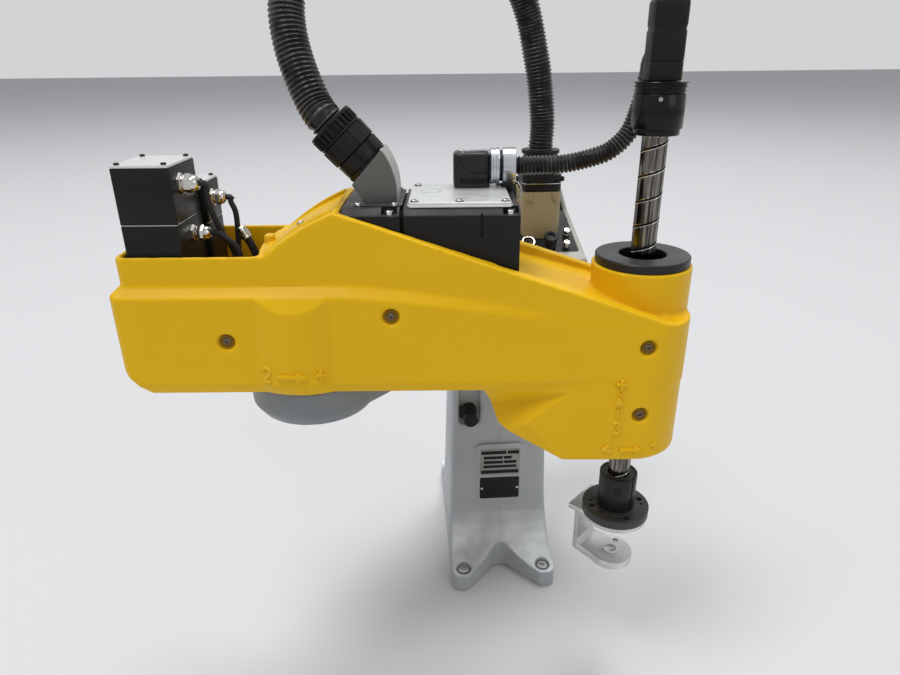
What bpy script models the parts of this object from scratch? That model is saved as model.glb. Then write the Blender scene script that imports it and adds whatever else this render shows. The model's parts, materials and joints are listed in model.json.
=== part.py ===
"""Four-axis selective-compliance robot arm: grey base and inner arm, yellow moulded forearm, vertical quill.

Metres, +Z up. The origin is where the first joint's axis meets the floor, and the base's front faces -Y.
Every piece is made in the frame of the body that carries it: BASE, ARM, FOREARM or QUILL.
"""
import math

import bmesh
import bpy
from mathutils import Matrix, Vector

# Seating gap between touching pieces and running gap between moving ones
SEAT = 0.0003
RUN = 0.004

# How far a cutter runs past what it cuts
PAST = 0.02

# Fittings on the panel: x and share of the way up its lower leaf, and profiles as radius and height
ROUND_CONNECTOR_PLACE = (0.047, 0.17)
ROUND_CONNECTOR_SIDE = ((0.012, 0), (0.012, 0.010), (0.009, 0.012))
PANEL_PLUG_PLACE = (0.082, 0.16)
PANEL_PLUG_SIDE = ((0.011, 0), (0.011, 0.006), (0.009, 0.007), (0.009, 0.014), (0.011, 0.015), (0.011, 0.024))
UPPER_AIR_PLACE = (0.112, 0.40)
LOWER_AIR_PLACE = (0.108, 0.12)
AIR_FITTING_SIDE = ((0.0055, 0), (0.0055, 0.008), (0.0045, 0.009), (0.0045, 0.013))

# How deep and how far back the junction box starts before the panel trims it
BOX_UNTRIMMED_BACK = 0.09
BOX_UNTRIMMED_FOOT = 0.53

# Links: both are 400 mm long, which gives the 800 mm reach
ARM_LENGTH = 0.400
FOREARM_LENGTH = 0.400
FOREARM_HEADING = math.radians(-3.75)
ELBOW_FOLD = math.radians(128.7)
ARM_HEADING = FOREARM_HEADING - ELBOW_FOLD

# Base casting
FOOT_HALF_WIDTH = 0.0895
FOOT_HALF_LENGTH = 0.182
FOOT_TIP_HEIGHT = 0.031
FLARE_TOP = 0.135
COLUMN_HALF_DEPTH = 0.086
COLUMN_TOP = 0.438
COLUMN_TOP_HALF_WIDTH = 0.076
COLUMN_TOP_HALF_DEPTH = 0.080
COLUMN_CORNER = 0.014
NOTCH_HALF_MOUTH = 0.054
NOTCH_APEX_FROM_AXIS = 0.124
NOTCH_ROUND = 0.018
FOOT_HOLE_X = 0.069
FOOT_HOLE_Y = 0.163
FOOT_HOLE_RADIUS = 0.007
FOOT_COUNTERBORE_RADIUS = 0.0125
FOOT_COUNTERBORE_FLOOR = 0.022
PAD_HALF_WIDTH = 0.040
PAD_BOTTOM = 0.104
PAD_TOP = 0.228
PAD_RAISE = 0.003
POCKET_LEFT = -0.070
POCKET_RIGHT = -0.034
POCKET_BOTTOM = 0.272
POCKET_TOP = 0.372
POCKET_DEPTH = 0.016

# Rear web and the console that it carries
WEB_HALF_THICKNESS = 0.026
WEB_FOOT = 0.215
WEB_KNEE = 0.388
WEB_HIGH = 0.426
WEB_INNER_X = 0.114
WEB_OUTER_X = 0.146
WEB_TOP = 0.505
CONSOLE_LEFT = 0.019
CONSOLE_TOP_RIGHT = 0.109
CONSOLE_FLARE = 0.25
CONSOLE_FRONT = -0.062
CONSOLE_REAR = 0.066
CONSOLE_LIP = 0.554
CONSOLE_TOP = 0.667
PANEL_EDGE = ((-0.045, 0.563), (0.029, 0.614), (0.057, 0.667))
CHEEK = 0.008
PANEL_DEPTH = 0.006
PANEL_THICKNESS = 0.004

# Junction box, conduit clamp and conduit
BOX_LEFT = 0.037
BOX_RIGHT = 0.100
BOX_FRONT = -0.021
BOX_TOP = 0.654
BOX_CORNER = 0.012
CLAMP_HEIGHT = 0.026
CLAMP_REAR = 0.040
CLAMP_COLLAR_RADIUS = 0.027
CLAMP_COLLAR_HEIGHT = 0.030
CLAMP_RING_RADIUS = 0.030
CLAMP_RING_HEIGHT = 0.006
CONDUIT_RADIUS = 0.020

# Inner arm
ARM_BOTTOM = 0.448
ARM_TOP = 0.495
ARM_CHAMFER = 0.014
SHOULDER_RADIUS = 0.078
ELBOW_RADIUS = 0.079
BEAM_SHOULDER_HALF_WIDTH = 0.074
BEAM_ELBOW_HALF_WIDTH = 0.070
TURNTABLE_RADIUS = 0.058
SHOULDER_CAP_RADIUS = 0.056
SHOULDER_CAP_HEIGHT = 0.004

# Forearm shell
SHELL_BOTTOM = 0.499
SHELL_BEVEL_TOP = 0.512
SHELL_BEVEL = 0.007
SHELL_REAR = -0.200
SHELL_NOSE = 0.452
SHELL_HALF_WIDTH = 0.087
UPPER_HALF_WIDTH = 0.075
SHELL_WALL = 0.005
LEDGE_REAR_Z = 0.616
LEDGE_FADE_X = 0.290
LEDGE_FADE_Z = 0.584
LEDGE_RISE = 0.010
TUB_RIM = 0.659
WEDGE_FOOT_X = -0.020
RIDGE_TOP_X = 0.060
RIDGE_TOP_Z = 0.705
RIDGE_END_X = 0.424
RIDGE_END_Z = 0.578
REAR_CORNER = 0.016
UPPER_REAR = -0.190
UPPER_CORNER = 0.012
CORNER_SPARE = 0.002
REAR_BEVEL_FOOT = -0.172
REAR_BEVEL_TOP = 0.530
NOSE_CORNER = 0.058
TUB_FLOOR = 0.560
BULGE_RADIUS = 0.096
DEEP_BOTTOM = 0.405
DEEP_START_X = 0.306
BELLY_START_X = 0.205
HOUSING_RADIUS = 0.058
HOUSING_TOP = 0.628
HOUSING_SINK = 0.008
QUILL_BORE_RADIUS = 0.030
CENTRE_END_X = 0.248
CHANNEL_HALF_WIDTH = 0.066
CHANNEL_DEPTH = (0.014, 0.005)
CHANNEL_END = 0.010
SCREW_HOLE_RADIUS = 0.0085
SCREW_HOLE_DEPTH = 0.006
SCREW_HOLES = ((-0.076, 0.565), (0.107, 0.593), (0.393, 0.553), (0.392, 0.468))

# Motors in the rear tub, with their glands and cables
ELBOW_MOTOR_X = (-0.181, -0.120)
ELBOW_MOTOR_Y = (-0.064, 0.012)
ELBOW_MOTOR_TOP = 0.752
QUILL_MOTOR_X = (-0.168, -0.1145)
QUILL_MOTOR_Y = (0.016, 0.066)
QUILL_MOTOR_TOP = 0.722
MOTOR_CORNER = 0.004
MOTOR_LID = 0.004
LID_INSET = 0.001
GLAND_RADIUS = 0.0095
GLAND_NECK = 0.008
GLAND_NUT = 0.007
GLAND_LENGTH = 0.020
CABLE_RADIUS = 0.0033
CABLE_SPACING = 0.012
POWER_GLAND = (-0.025, 0.731)
SIGNAL_GLAND = (-0.025, 0.674)
QUILL_GLAND = (0.040, 0.702)
POWER_CABLE = (
    (-0.0880, -0.018, 0.700), (-0.0850, -0.012, 0.665), (-0.0800, -0.006, 0.630), (-0.0760, -0.002, 0.590),
)
SIGNAL_CABLE = ((-0.0780, -0.026, 0.661), (-0.0660, -0.024, 0.640), (-0.0610, -0.022, 0.600))
QUILL_CABLE = ((-0.0850, 0.040, 0.680), (-0.0860, 0.037, 0.650), (-0.0900, 0.033, 0.610))
PLUG_FOOT = (-0.052, 0.010)
PLUG_KNEE = 0.050
PLUG_RISE = 0.095
PLUG_TIP = (-0.0665, 0.010)
PLUG_LEAN = (-0.46, 0, 0.89)
PLUG_RADIUS = 0.0065
PLUG_LENGTH = 0.015
PLUG_EDGE = 0.001
LEAD_RADIUS = 0.0045

# Centre cover and what stands on it
COVER_HALF_WIDTH = 0.062
COVER_START_X = 0.064
COVER_TOP = 0.706
COVER_CHAMFER = 0.0075
COVER_CORNER = 0.006
PLATE_START_X = 0.127
PLATE_END_X = 0.240
PLATE_HALF_WIDTH = 0.056
PLATE_THICKNESS = 0.005
FOOT_PLATE_HALF_WIDTH = 0.050
FOOT_PLATE = 0.002
FOOT_PLATE_MARGIN = 0.002
FOOT_CORNER = 0.004
BRACKET_OUTLINE = (
    (0.0662, 0.0181),
    (0.0999, 0.0547),
    (0.1055, 0.0459),
    (0.1096, 0.0371),
    (0.1136, 0.0244),
    (0.1151, 0.0124),
    (0.1151, 0.0),
    (0.0810, 0.0),
)
BRACKET_NEAR = -0.034
BRACKET_FAR = 0.022
FITTING_LENGTH = 0.063
FITTING_PROFILE = ((0.024, 0.0), (0.024, 0.022), (0.027, 0.024), (0.027, 0.046), (0.0235, 0.048))
HOOD_X = (0.177, 0.220)
HOOD_Y = 0.0415
HOOD_HALF_WIDTH = 0.0165
HOOD_TOP = 0.7515
HOSE_CLAMP_RADIUS = 0.0212
HOSE_CLAMP_LENGTH = 0.030
HOSE_CLAMP_GROOVE = 0.004
HOSE_HEIGHT = 0.7345
HOSE_RADIUS = 0.011

# Quill
RING_RADIUS = 0.055
RING_HOLE_RADIUS = 0.029
RING_THICKNESS = 0.010
SHAFT_RADIUS = 0.0125
STROKE_UP = 0.069
STROKE_DOWN = 0.131
FLANGE_RADIUS = 0.045
FLANGE_TOP = 0.280
FLANGE_THICKNESS = 0.012
FLANGE_HOLE_CIRCLE = 0.035
FLANGE_HOLE_RADIUS = 0.0042
FLANGE_HOLE_START = math.radians(10.6)
DOWEL_RADIUS = 0.0022
DOWEL_LAG = math.radians(18)
HUB_RADIUS = 0.025
HUB_CUP_RADIUS = 0.021
HUB_CUP_DEPTH = 0.012
HUB_SLOT_HEADING = math.radians(-53)
HUB_SLOT = 0.002
HEAD_COLLAR_RADIUS = 0.026
HEAD_COLLAR_HEIGHT = 0.055
HEAD_ELBOW_RADIUS = 0.018
HEAD_ELBOW_HEIGHT = 0.080
HEAD_OUTLET_LENGTH = 0.052
HEAD_OUTLET_RADIUS = 0.014
HEAD_OUTLET_DROP = 0.038
HEAD_OUTLET_DIRECTION = (0, 0.82, -0.57)

# Tool bracket under the flange
BRACKET_HEADING = math.radians(138)
PLATE_ROUND = 0.043
TAB_END = 0.056
TAB_HALF_WIDTH = 0.030
TOOL_PLATE = 0.007
TOOL_WEB = (0.0435, 0.0495)
TOOL_WEB_HALF_WIDTH = 0.0215
TOOL_FILLET = 0.007
LOWER_PLATE = (0.187, 0.198)
LOWER_PLATE_ROUND = 0.030
TOOL_BOSS_RADIUS = 0.0108
TOOL_BOSS_RAISE = 0.0015
TOOL_BORE_RADIUS = 0.008
TOOL_SIDE_HOLE = (0.004, -0.0225)
TOOL_SIDE_HOLE_RADIUS = 0.004

# Conduit and hose: straight stretch at each end, and points on the way, the hose's in the forearm's frame
END_LEAD = 0.008
CONDUIT_SPACING = 0.030
HOSE_SPACING = 0.022
RISE_POINTS = ((0.0685, 0.0095, 0.766), (0.054, 0.0, 0.850), (0.018, -0.018, 0.950))
CROWN = (-0.095, -0.115, 1.085)
FALL_POINTS = (
    (-0.205, -0.205, 1.060), (-0.2575, -0.242, 0.985), (-0.2652, -0.2604, 0.911), (-0.2550, -0.2881, 0.852),
)
HOSE_POINTS = (
    (0.285, 0.0420, 0.7350),
    (0.312, 0.0430, 0.7365),
    (0.342, 0.0445, 0.7430),
    (0.362, 0.0460, 0.7505),
    (0.380, 0.0490, 0.7660),
    (0.3905, 0.0540, 0.7850),
    (0.3970, 0.0600, 0.8060),
)

SEGMENTS = 48
MERGE = 0.00005
SHARP_ANGLE = math.radians(35)

BASE = Matrix.Identity(4)
ARM = Matrix.Rotation(ARM_HEADING, 4, "Z")
ELBOW = ARM @ Matrix.Translation((ARM_LENGTH, 0, 0))
FOREARM = Matrix.Translation(ELBOW.translation) @ Matrix.Rotation(FOREARM_HEADING, 4, "Z")
QUILL = FOREARM @ Matrix.Translation((FOREARM_LENGTH, 0, 0))

PAINTS = {
    "grey_paint": ((0.36, 0.38, 0.40, 1), 0.0, 0.5),
    "yellow_paint": ((0.80, 0.46, 0.01, 1), 0.0, 0.4),
    "black_plastic": ((0.02, 0.02, 0.022, 1), 0.0, 0.5),
    "tan_plastic": ((0.40, 0.34, 0.20, 1), 0.0, 0.5),
    "steel": ((0.55, 0.55, 0.56, 1), 1.0, 0.25),
    "aluminium": ((0.75, 0.76, 0.78, 1), 1.0, 0.35),
    "nickel": ((0.62, 0.58, 0.50, 1), 1.0, 0.25),
}


def clear_scene():
    """Start from an empty scene."""
    for thing in list(bpy.data.objects):
        bpy.data.objects.remove(thing, do_unlink=True)


def collection(name, hidden=False):
    made = bpy.data.collections.new(name)
    bpy.context.scene.collection.children.link(made)
    made.hide_render = hidden
    return made


def material(name, paint):
    """A Principled material of its own for one piece."""
    colour, metallic, roughness = PAINTS[paint]
    made = bpy.data.materials.new(name)
    made.use_nodes = True
    shader = made.node_tree.nodes["Principled BSDF"]
    shader.inputs["Base Color"].default_value = colour
    shader.inputs["Metallic"].default_value = metallic
    shader.inputs["Roughness"].default_value = roughness
    made.diffuse_color = colour
    return made


def place(name, mesh, frame, paint=None):
    """One closed body. Without a paint it is a cutter or a piece that a Boolean fuses."""
    mesh.shade_smooth()
    mesh.set_sharp_from_angle(angle=SHARP_ANGLE)
    thing = bpy.data.objects.new(name, mesh)
    thing.matrix_world = frame
    if paint is None:
        CUTTERS.objects.link(thing)
        thing.hide_render = True
        thing.display_type = "WIRE"
    else:
        PARTS.objects.link(thing)
        mesh.materials.append(material(name, paint))
    return thing


def combine(target, other, operation):
    """Exact Boolean, kept as a modifier."""
    step = target.modifiers.new(other.name, "BOOLEAN")
    step.operation = operation
    step.solver = "EXACT"
    step.object = other
    return target


def cut(target, *others):
    for other in others:
        combine(target, other, "DIFFERENCE")
    return target


def fuse(target, *others):
    for other in others:
        combine(target, other, "UNION")
    return target


def common(target, other):
    return combine(target, other, "INTERSECT")


def loft(name, rings, frame, paint=None):
    """A closed body through rings of equal length, capped at both ends."""
    count = len(rings[0])
    verts = [tuple(point) for ring in rings for point in ring]
    faces = [tuple(range(count - 1, -1, -1))]
    for level in range(len(rings) - 1):
        low, high = level * count, (level + 1) * count
        for i in range(count):
            j = (i + 1) % count
            faces.append((low + i, low + j, high + j, high + i))
    last = (len(rings) - 1) * count
    faces.append(tuple(range(last, last + count)))
    mesh = bpy.data.meshes.new(name)
    mesh.from_pydata(verts, [], faces)
    return place(name, mesh, frame, paint)


def flat(name, outline, thickness):
    """Mesh of a flat outline with a thickness, centred on its plane, made from a filled 2D curve."""
    curve = bpy.data.curves.new(name, "CURVE")
    curve.dimensions = "2D"
    curve.fill_mode = "BOTH"
    curve.extrude = thickness / 2
    spline = curve.splines.new("POLY")
    spline.points.add(len(outline) - 1)
    for slot, (x, y) in zip(spline.points, outline):
        slot.co = (x, y, 0, 1)
    spline.use_cyclic_u = True
    drawn = bpy.data.objects.new(name, curve)
    bpy.context.scene.collection.objects.link(drawn)
    mesh = bpy.data.meshes.new_from_object(drawn.evaluated_get(bpy.context.evaluated_depsgraph_get()))
    bpy.data.objects.remove(drawn)
    bpy.data.curves.remove(curve)
    mesh.name = name
    work = bmesh.new()
    work.from_mesh(mesh)
    bmesh.ops.remove_doubles(work, verts=work.verts, dist=MERGE)
    bmesh.ops.recalc_face_normals(work, faces=work.faces)
    work.to_mesh(mesh)
    work.free()
    return mesh


def upright(name, outline, low, high, frame, paint=None):
    """A plan outline carried straight up from low to high."""
    mesh = flat(name, outline, high - low)
    mesh.transform(Matrix.Translation((0, 0, (low + high) / 2)))
    return place(name, mesh, frame, paint)


def crosswise(name, outline, near, far, frame, paint=None):
    """A side outline of (x, z) points, carried from y near to y far."""
    mesh = flat(name, outline, far - near)
    mesh.transform(Matrix.Translation((0, (near + far) / 2, 0)) @ Matrix.Rotation(math.pi / 2, 4, "X"))
    return place(name, mesh, frame, paint)


def lengthwise(name, outline, start, end, frame, paint=None):
    """An end outline of (y, z) points, carried from x start to x end."""
    mesh = flat(name, outline, end - start)
    turn = Matrix(((0, 0, 1, 0), (1, 0, 0, 0), (0, 1, 0, 0), (0, 0, 0, 1)))
    mesh.transform(Matrix.Translation(((start + end) / 2, 0, 0)) @ turn)
    return place(name, mesh, frame, paint)


def area(outline):
    pairs = zip(outline, outline[1:] + outline[:1])
    return sum(a[0] * b[1] - b[0] * a[1] for a, b in pairs) / 2


def arc(centre, radius, start, end, steps):
    """Points of an arc, with its angles in degrees."""
    turn = [math.radians(start + (end - start) * i / steps) for i in range(steps + 1)]
    return [(centre[0] + radius * math.cos(a), centre[1] + radius * math.sin(a)) for a in turn]


def rounded(left, right, front, back, radius, steps=4):
    """Rounded rectangle, counter-clockwise from its right front corner."""
    corners = (
        ((right - radius, front + radius), -90),
        ((right - radius, back - radius), 0),
        ((left + radius, back - radius), 90),
        ((left + radius, front + radius), 180),
    )
    return [p for centre, start in corners for p in arc(centre, radius, start, start + 90, steps)]


def disc(name, radius, low, high, frame, paint=None, centre=(0, 0), segments=SEGMENTS):
    """A cylinder about the frame's Z, or about a centre beside it."""
    work = bmesh.new()
    spot = Matrix.Translation((*centre, (low + high) / 2))
    depth = high - low
    bmesh.ops.create_cone(work, cap_ends=True, segments=segments, radius1=radius, radius2=radius, depth=depth, matrix=spot)
    mesh = bpy.data.meshes.new(name)
    work.to_mesh(mesh)
    work.free()
    return place(name, mesh, frame, paint)


def turned(name, profile, frame, paint=None, segments=SEGMENTS):
    """A body turned about the frame's Z by a Screw, from (radius, z) points that run up its outer side."""
    side = [(0.0, profile[0][1])] + list(profile) + [(0.0, profile[-1][1])]
    mesh = bpy.data.meshes.new(name)
    mesh.from_pydata([(radius, 0, z) for radius, z in side[::-1]], [(i, i + 1) for i in range(len(side) - 1)], [])
    thing = place(name, mesh, frame, paint)
    screw = thing.modifiers.new("turned", "SCREW")
    screw.axis = "Z"
    screw.steps = segments
    screw.render_steps = segments
    screw.use_merge_vertices = True
    screw.merge_threshold = MERGE
    screw.use_smooth_shade = True
    return thing


def hull(name, points, frame, paint=None):
    """The convex body round some points."""
    work = bmesh.new()
    for point in points:
        work.verts.new(point)
    made = bmesh.ops.convex_hull(work, input=work.verts)
    loose = {v for v in made["geom_interior"] + made["geom_unused"] if isinstance(v, bmesh.types.BMVert)}
    bmesh.ops.delete(work, geom=list(loose), context="VERTS")
    bmesh.ops.dissolve_limit(work, angle_limit=math.radians(0.2), verts=work.verts, edges=work.edges)
    mesh = bpy.data.meshes.new(name)
    work.to_mesh(mesh)
    work.free()
    return place(name, mesh, frame, paint)


def aim(frame, point, direction):
    """A frame at a point of another frame, with its Z along a direction."""
    turn = Vector(direction).to_track_quat("Z", "Y").to_matrix().to_4x4()
    return frame @ Matrix.Translation(point) @ turn


def offset_line(points, depth):
    """A line of points moved by depth to its right, with mitred corners."""
    normals = []
    for (x0, z0), (x1, z1) in zip(points, points[1:]):
        length = math.hypot(x1 - x0, z1 - z0)
        normals.append(((z1 - z0) / length, -(x1 - x0) / length))
    moved = []
    for i, (x, z) in enumerate(points):
        a = normals[max(0, i - 1)]
        b = normals[min(len(normals) - 1, i)]
        share = depth / (1 + a[0] * b[0] + a[1] * b[1])
        moved.append((x + (a[0] + b[0]) * share, z + (a[1] + b[1]) * share))
    return moved


def foot_sections():
    """Half-length of the base at each height: straight tip, hollow flare, drafted column."""
    reach = FOOT_HALF_LENGTH - COLUMN_HALF_DEPTH
    rise = FLARE_TOP - FOOT_TIP_HEIGHT
    sections = [(0.0, FOOT_HALF_LENGTH), (FOOT_TIP_HEIGHT, FOOT_HALF_LENGTH - 0.001)]
    for step in range(1, 9):
        turn = math.radians(90 * step / 8)
        depth = COLUMN_HALF_DEPTH + reach * (1 - math.sin(turn))
        sections.append((FOOT_TIP_HEIGHT + rise * (1 - math.cos(turn)), depth))
    sections.append((COLUMN_TOP, COLUMN_TOP_HALF_DEPTH))
    return sections


def column_half_width(z):
    return FOOT_HALF_WIDTH + (COLUMN_TOP_HALF_WIDTH - FOOT_HALF_WIDTH) * z / COLUMN_TOP


def base_casting():
    """Grey column on a flared foot with a notch at each end, its holes and its connector pocket."""
    rings = []
    for z, depth in foot_sections():
        width = column_half_width(z)
        rings.append([(x, y, z) for x, y in rounded(-width, width, -depth, depth, COLUMN_CORNER)])
    casting = loft("base_casting", rings, BASE, "grey_paint")
    fuse(casting, label_pad())
    for side in (-1, 1):
        cut(casting, foot_notch(side))
        for x in (-FOOT_HOLE_X, FOOT_HOLE_X):
            centre = (x, side * FOOT_HOLE_Y)
            bore = disc("foot_bore", FOOT_HOLE_RADIUS, -0.01, 0.2, BASE, None, centre, 20)
            seat = disc("foot_seat", FOOT_COUNTERBORE_RADIUS, FOOT_COUNTERBORE_FLOOR, 0.2, BASE, None, centre, 24)
            cut(casting, bore, seat)
    cut(casting, connector_pocket())
    return casting


def label_pad():
    front = -COLUMN_HALF_DEPTH - PAD_RAISE
    outline = rounded(-PAD_HALF_WIDTH, PAD_HALF_WIDTH, PAD_BOTTOM, PAD_TOP, 0.006, 2)
    return crosswise("label_pad", outline, front, -COLUMN_HALF_DEPTH + 0.02, BASE)


def foot_notch(side):
    """The rounded V between the two feet of one end."""
    flank = math.degrees(math.atan2(NOTCH_HALF_MOUTH, FOOT_HALF_LENGTH - NOTCH_APEX_FROM_AXIS))
    centre = (0, -(NOTCH_APEX_FROM_AXIS + NOTCH_ROUND))
    outline = arc(centre, NOTCH_ROUND, flank, 180 - flank, 8)
    mouth, beyond = NOTCH_HALF_MOUTH + PAST, -FOOT_HALF_LENGTH - 0.012
    outline += [(-mouth, beyond), (mouth, beyond)]
    frame = BASE if side < 0 else Matrix.Rotation(math.pi, 4, "Z")
    return upright("foot_notch", outline, -0.01, 0.3, frame)


def connector_pocket():
    outline = rounded(POCKET_LEFT, POCKET_RIGHT, POCKET_BOTTOM, POCKET_TOP, 0.005, 2)
    return crosswise("connector_pocket", outline, -0.12, -COLUMN_HALF_DEPTH + 0.003 + POCKET_DEPTH, BASE)


def rear_bracket():
    """Bracket behind the column that carries the console clear of the arm's sweep."""
    near = column_half_width(WEB_FOOT) + SEAT
    high = column_half_width(WEB_HIGH) + SEAT
    outline = [
        (near, WEB_FOOT),
        (WEB_OUTER_X, WEB_KNEE),
        (WEB_OUTER_X, WEB_TOP),
        (WEB_INNER_X, WEB_TOP),
        (WEB_INNER_X, WEB_HIGH),
        (high, WEB_HIGH),
    ]
    return crosswise("rear_bracket", outline, -WEB_HALF_THICKNESS, WEB_HALF_THICKNESS, BASE, "grey_paint")


def console_right(z):
    """The cheek leans outwards as it comes down."""
    return CONSOLE_TOP_RIGHT + CONSOLE_FLARE * (CONSOLE_TOP - z)


def console_body(name, profile, left, inset, paint=None):
    """A (y, z) profile carried from x left to the leaning cheek, less an inset."""
    if area(profile) < 0:
        profile = profile[::-1]
    near = [(left, y, z) for y, z in profile]
    far = [(console_right(z) - inset, y, z) for y, z in profile]
    return loft(name, [near, far], BASE, paint)


def console_housing():
    """Sheet console behind the shoulder: back, floor and two cheeks round the connector panel."""
    bottom = WEB_TOP + SEAT
    profile = [(CONSOLE_FRONT, bottom), (CONSOLE_REAR, bottom), (CONSOLE_REAR, CONSOLE_TOP)]
    profile += [(y, z) for y, z in PANEL_EDGE[::-1]] + [(CONSOLE_FRONT, CONSOLE_LIP)]
    housing = console_body("console_housing", profile, CONSOLE_LEFT, 0, "grey_paint")
    floor = offset_line(PANEL_EDGE, PANEL_DEPTH)
    above = offset_line(PANEL_EDGE, -0.04)
    recess = console_body("panel_recess", floor + above[::-1], CONSOLE_LEFT + CHEEK, CHEEK)
    return cut(housing, recess)


def connector_panel():
    back = offset_line(PANEL_EDGE, PANEL_DEPTH - SEAT)
    face = offset_line(PANEL_EDGE, PANEL_DEPTH - SEAT - PANEL_THICKNESS)
    start = CONSOLE_LEFT + CHEEK + SEAT
    return console_body("connector_panel", back + face[::-1], start, CHEEK + SEAT, "black_plastic")


def panel_face_point(x, share, depth=PANEL_DEPTH - SEAT - PANEL_THICKNESS):
    """A point on the panel's lower leaf, by its share of the way up, and the leaf's normal."""
    (y0, z0), (y1, z1) = offset_line(PANEL_EDGE, depth)[:2]
    length = math.hypot(y1 - y0, z1 - z0)
    normal = (0, -(z1 - z0) / length, (y1 - y0) / length)
    return (x, y0 + (y1 - y0) * share, z0 + (z1 - z0) * share), normal


def panel_fitting(name, x, share, profile, paint, segments=20):
    point, normal = panel_face_point(x, share)
    seat = [(radius, z + SEAT) for radius, z in profile]
    return turned(name, seat, aim(BASE, point, normal), paint, segments)


def panel_fittings():
    """Round connector, plug and two air fittings on the panel's lower leaf."""
    panel_fitting("round_connector", *ROUND_CONNECTOR_PLACE, ROUND_CONNECTOR_SIDE, "aluminium", 24)
    panel_fitting("panel_plug", *PANEL_PLUG_PLACE, PANEL_PLUG_SIDE, "black_plastic")
    panel_fitting("air_fitting_upper", *UPPER_AIR_PLACE, AIR_FITTING_SIDE, "nickel", 16)
    panel_fitting("air_fitting_lower", *LOWER_AIR_PLACE, AIR_FITTING_SIDE, "nickel", 16)


def junction_box():
    """A box with rounded corners that sits down on both leaves of the panel."""
    outline = rounded(BOX_LEFT, BOX_RIGHT, BOX_FRONT, BOX_UNTRIMMED_BACK, BOX_CORNER)
    box = upright("junction_box", outline, BOX_UNTRIMMED_FOOT, BOX_TOP, BASE, "tan_plastic")
    seat = offset_line(PANEL_EDGE, PANEL_DEPTH - 2 * SEAT - PANEL_THICKNESS)
    (y0, z0), (y1, z1) = seat[0], seat[1]
    (y2, z2) = seat[2]
    start = (y0 - (y1 - y0), z0 - (z1 - z0))
    end = (y2 + (y2 - y1), z2 + (z2 - z1))
    below = [start, (y1, z1), end, (0.2, end[1]), (0.2, 0.4), (start[0], 0.4)]
    return cut(box, lengthwise("below_panel", below, 0.0, 0.2, BASE))


def conduit_clamp():
    """Clamp on the junction box: a block, a collar and a ring that the large conduit leaves."""
    low = BOX_TOP + SEAT
    mid = low + CLAMP_HEIGHT
    outline = rounded(BOX_LEFT, BOX_RIGHT, BOX_FRONT, CLAMP_REAR, BOX_CORNER)
    clamp = upright("conduit_clamp", outline, low, mid, BASE, "black_plastic")
    x, y = conduit_foot()[:2]
    top = mid + CLAMP_COLLAR_HEIGHT
    profile = [(CLAMP_COLLAR_RADIUS, mid - 0.005), (CLAMP_COLLAR_RADIUS, top), (CLAMP_RING_RADIUS, top)]
    profile += [(CLAMP_RING_RADIUS, top + CLAMP_RING_HEIGHT)]
    return fuse(clamp, turned("clamp_collar", profile, BASE @ Matrix.Translation((x, y, 0))))


def conduit_foot():
    z = BOX_TOP + SEAT + CLAMP_HEIGHT + CLAMP_COLLAR_HEIGHT + CLAMP_RING_HEIGHT + SEAT
    return ((BOX_LEFT + BOX_RIGHT) / 2, (BOX_FRONT + CLAMP_REAR) / 2, z)


def base_side_connector():
    """Plug in the base's pocket."""
    x = (POCKET_LEFT + POCKET_RIGHT) / 2
    back = -COLUMN_HALF_DEPTH + 0.003 + POCKET_DEPTH
    frame = aim(BASE, (x, back - SEAT, POCKET_BOTTOM + 0.022), (0, -1, 0))
    profile = [(0.013, 0), (0.013, 0.014), (0.010, 0.015), (0.010, 0.030), (0.012, 0.031), (0.012, 0.040)]
    return turned("base_side_connector", profile, frame, "black_plastic", 20)


def upper_arm():
    """Beam between two round hubs, chamfered below, with a turntable boss under the shoulder."""
    beam = [(0, -BEAM_SHOULDER_HALF_WIDTH), (ARM_LENGTH, -BEAM_ELBOW_HALF_WIDTH)]
    beam += [(x, -y) for x, y in beam[::-1]]
    low = [(0, -BEAM_SHOULDER_HALF_WIDTH + 0.008), (ARM_LENGTH, -BEAM_ELBOW_HALF_WIDTH + 0.008)]
    low += [(x, -y) for x, y in low[::-1]]
    rings = [[(x, y, ARM_BOTTOM) for x, y in low]]
    rings += [[(x, y, ARM_BOTTOM + ARM_CHAMFER) for x, y in beam], [(x, y, ARM_TOP) for x, y in beam]]
    arm = loft("upper_arm", rings, ARM, "grey_paint")
    for name, radius, x in (("shoulder_hub", SHOULDER_RADIUS, 0), ("elbow_hub", ELBOW_RADIUS, ARM_LENGTH)):
        profile = [(radius - 0.010, ARM_BOTTOM - 0.0001), (radius, ARM_BOTTOM + ARM_CHAMFER)]
        profile += [(radius, ARM_TOP + 0.0001)]
        fuse(arm, turned(name, profile, ARM @ Matrix.Translation((x, 0, 0)), None, 40))
    boss = disc("shoulder_boss", TURNTABLE_RADIUS, COLUMN_TOP + SEAT, ARM_BOTTOM + 0.004, ARM)
    return fuse(arm, boss)


def shoulder_cap():
    low = ARM_TOP + 0.0001 + SEAT
    profile = [(SHOULDER_CAP_RADIUS, low), (SHOULDER_CAP_RADIUS - 0.002, low + SHOULDER_CAP_HEIGHT)]
    return turned("shoulder_cap", profile, ARM, "black_plastic", 40)


def ridge_z(x):
    """Height of the side wall's top edge along the forearm."""
    if x <= WEDGE_FOOT_X:
        return TUB_RIM
    if x <= RIDGE_TOP_X:
        return TUB_RIM + (RIDGE_TOP_Z - TUB_RIM) * (x - WEDGE_FOOT_X) / (RIDGE_TOP_X - WEDGE_FOOT_X)
    share = min(1.0, (x - RIDGE_TOP_X) / (RIDGE_END_X - RIDGE_TOP_X))
    return RIDGE_TOP_Z + (RIDGE_END_Z - RIDGE_TOP_Z) * share


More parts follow.
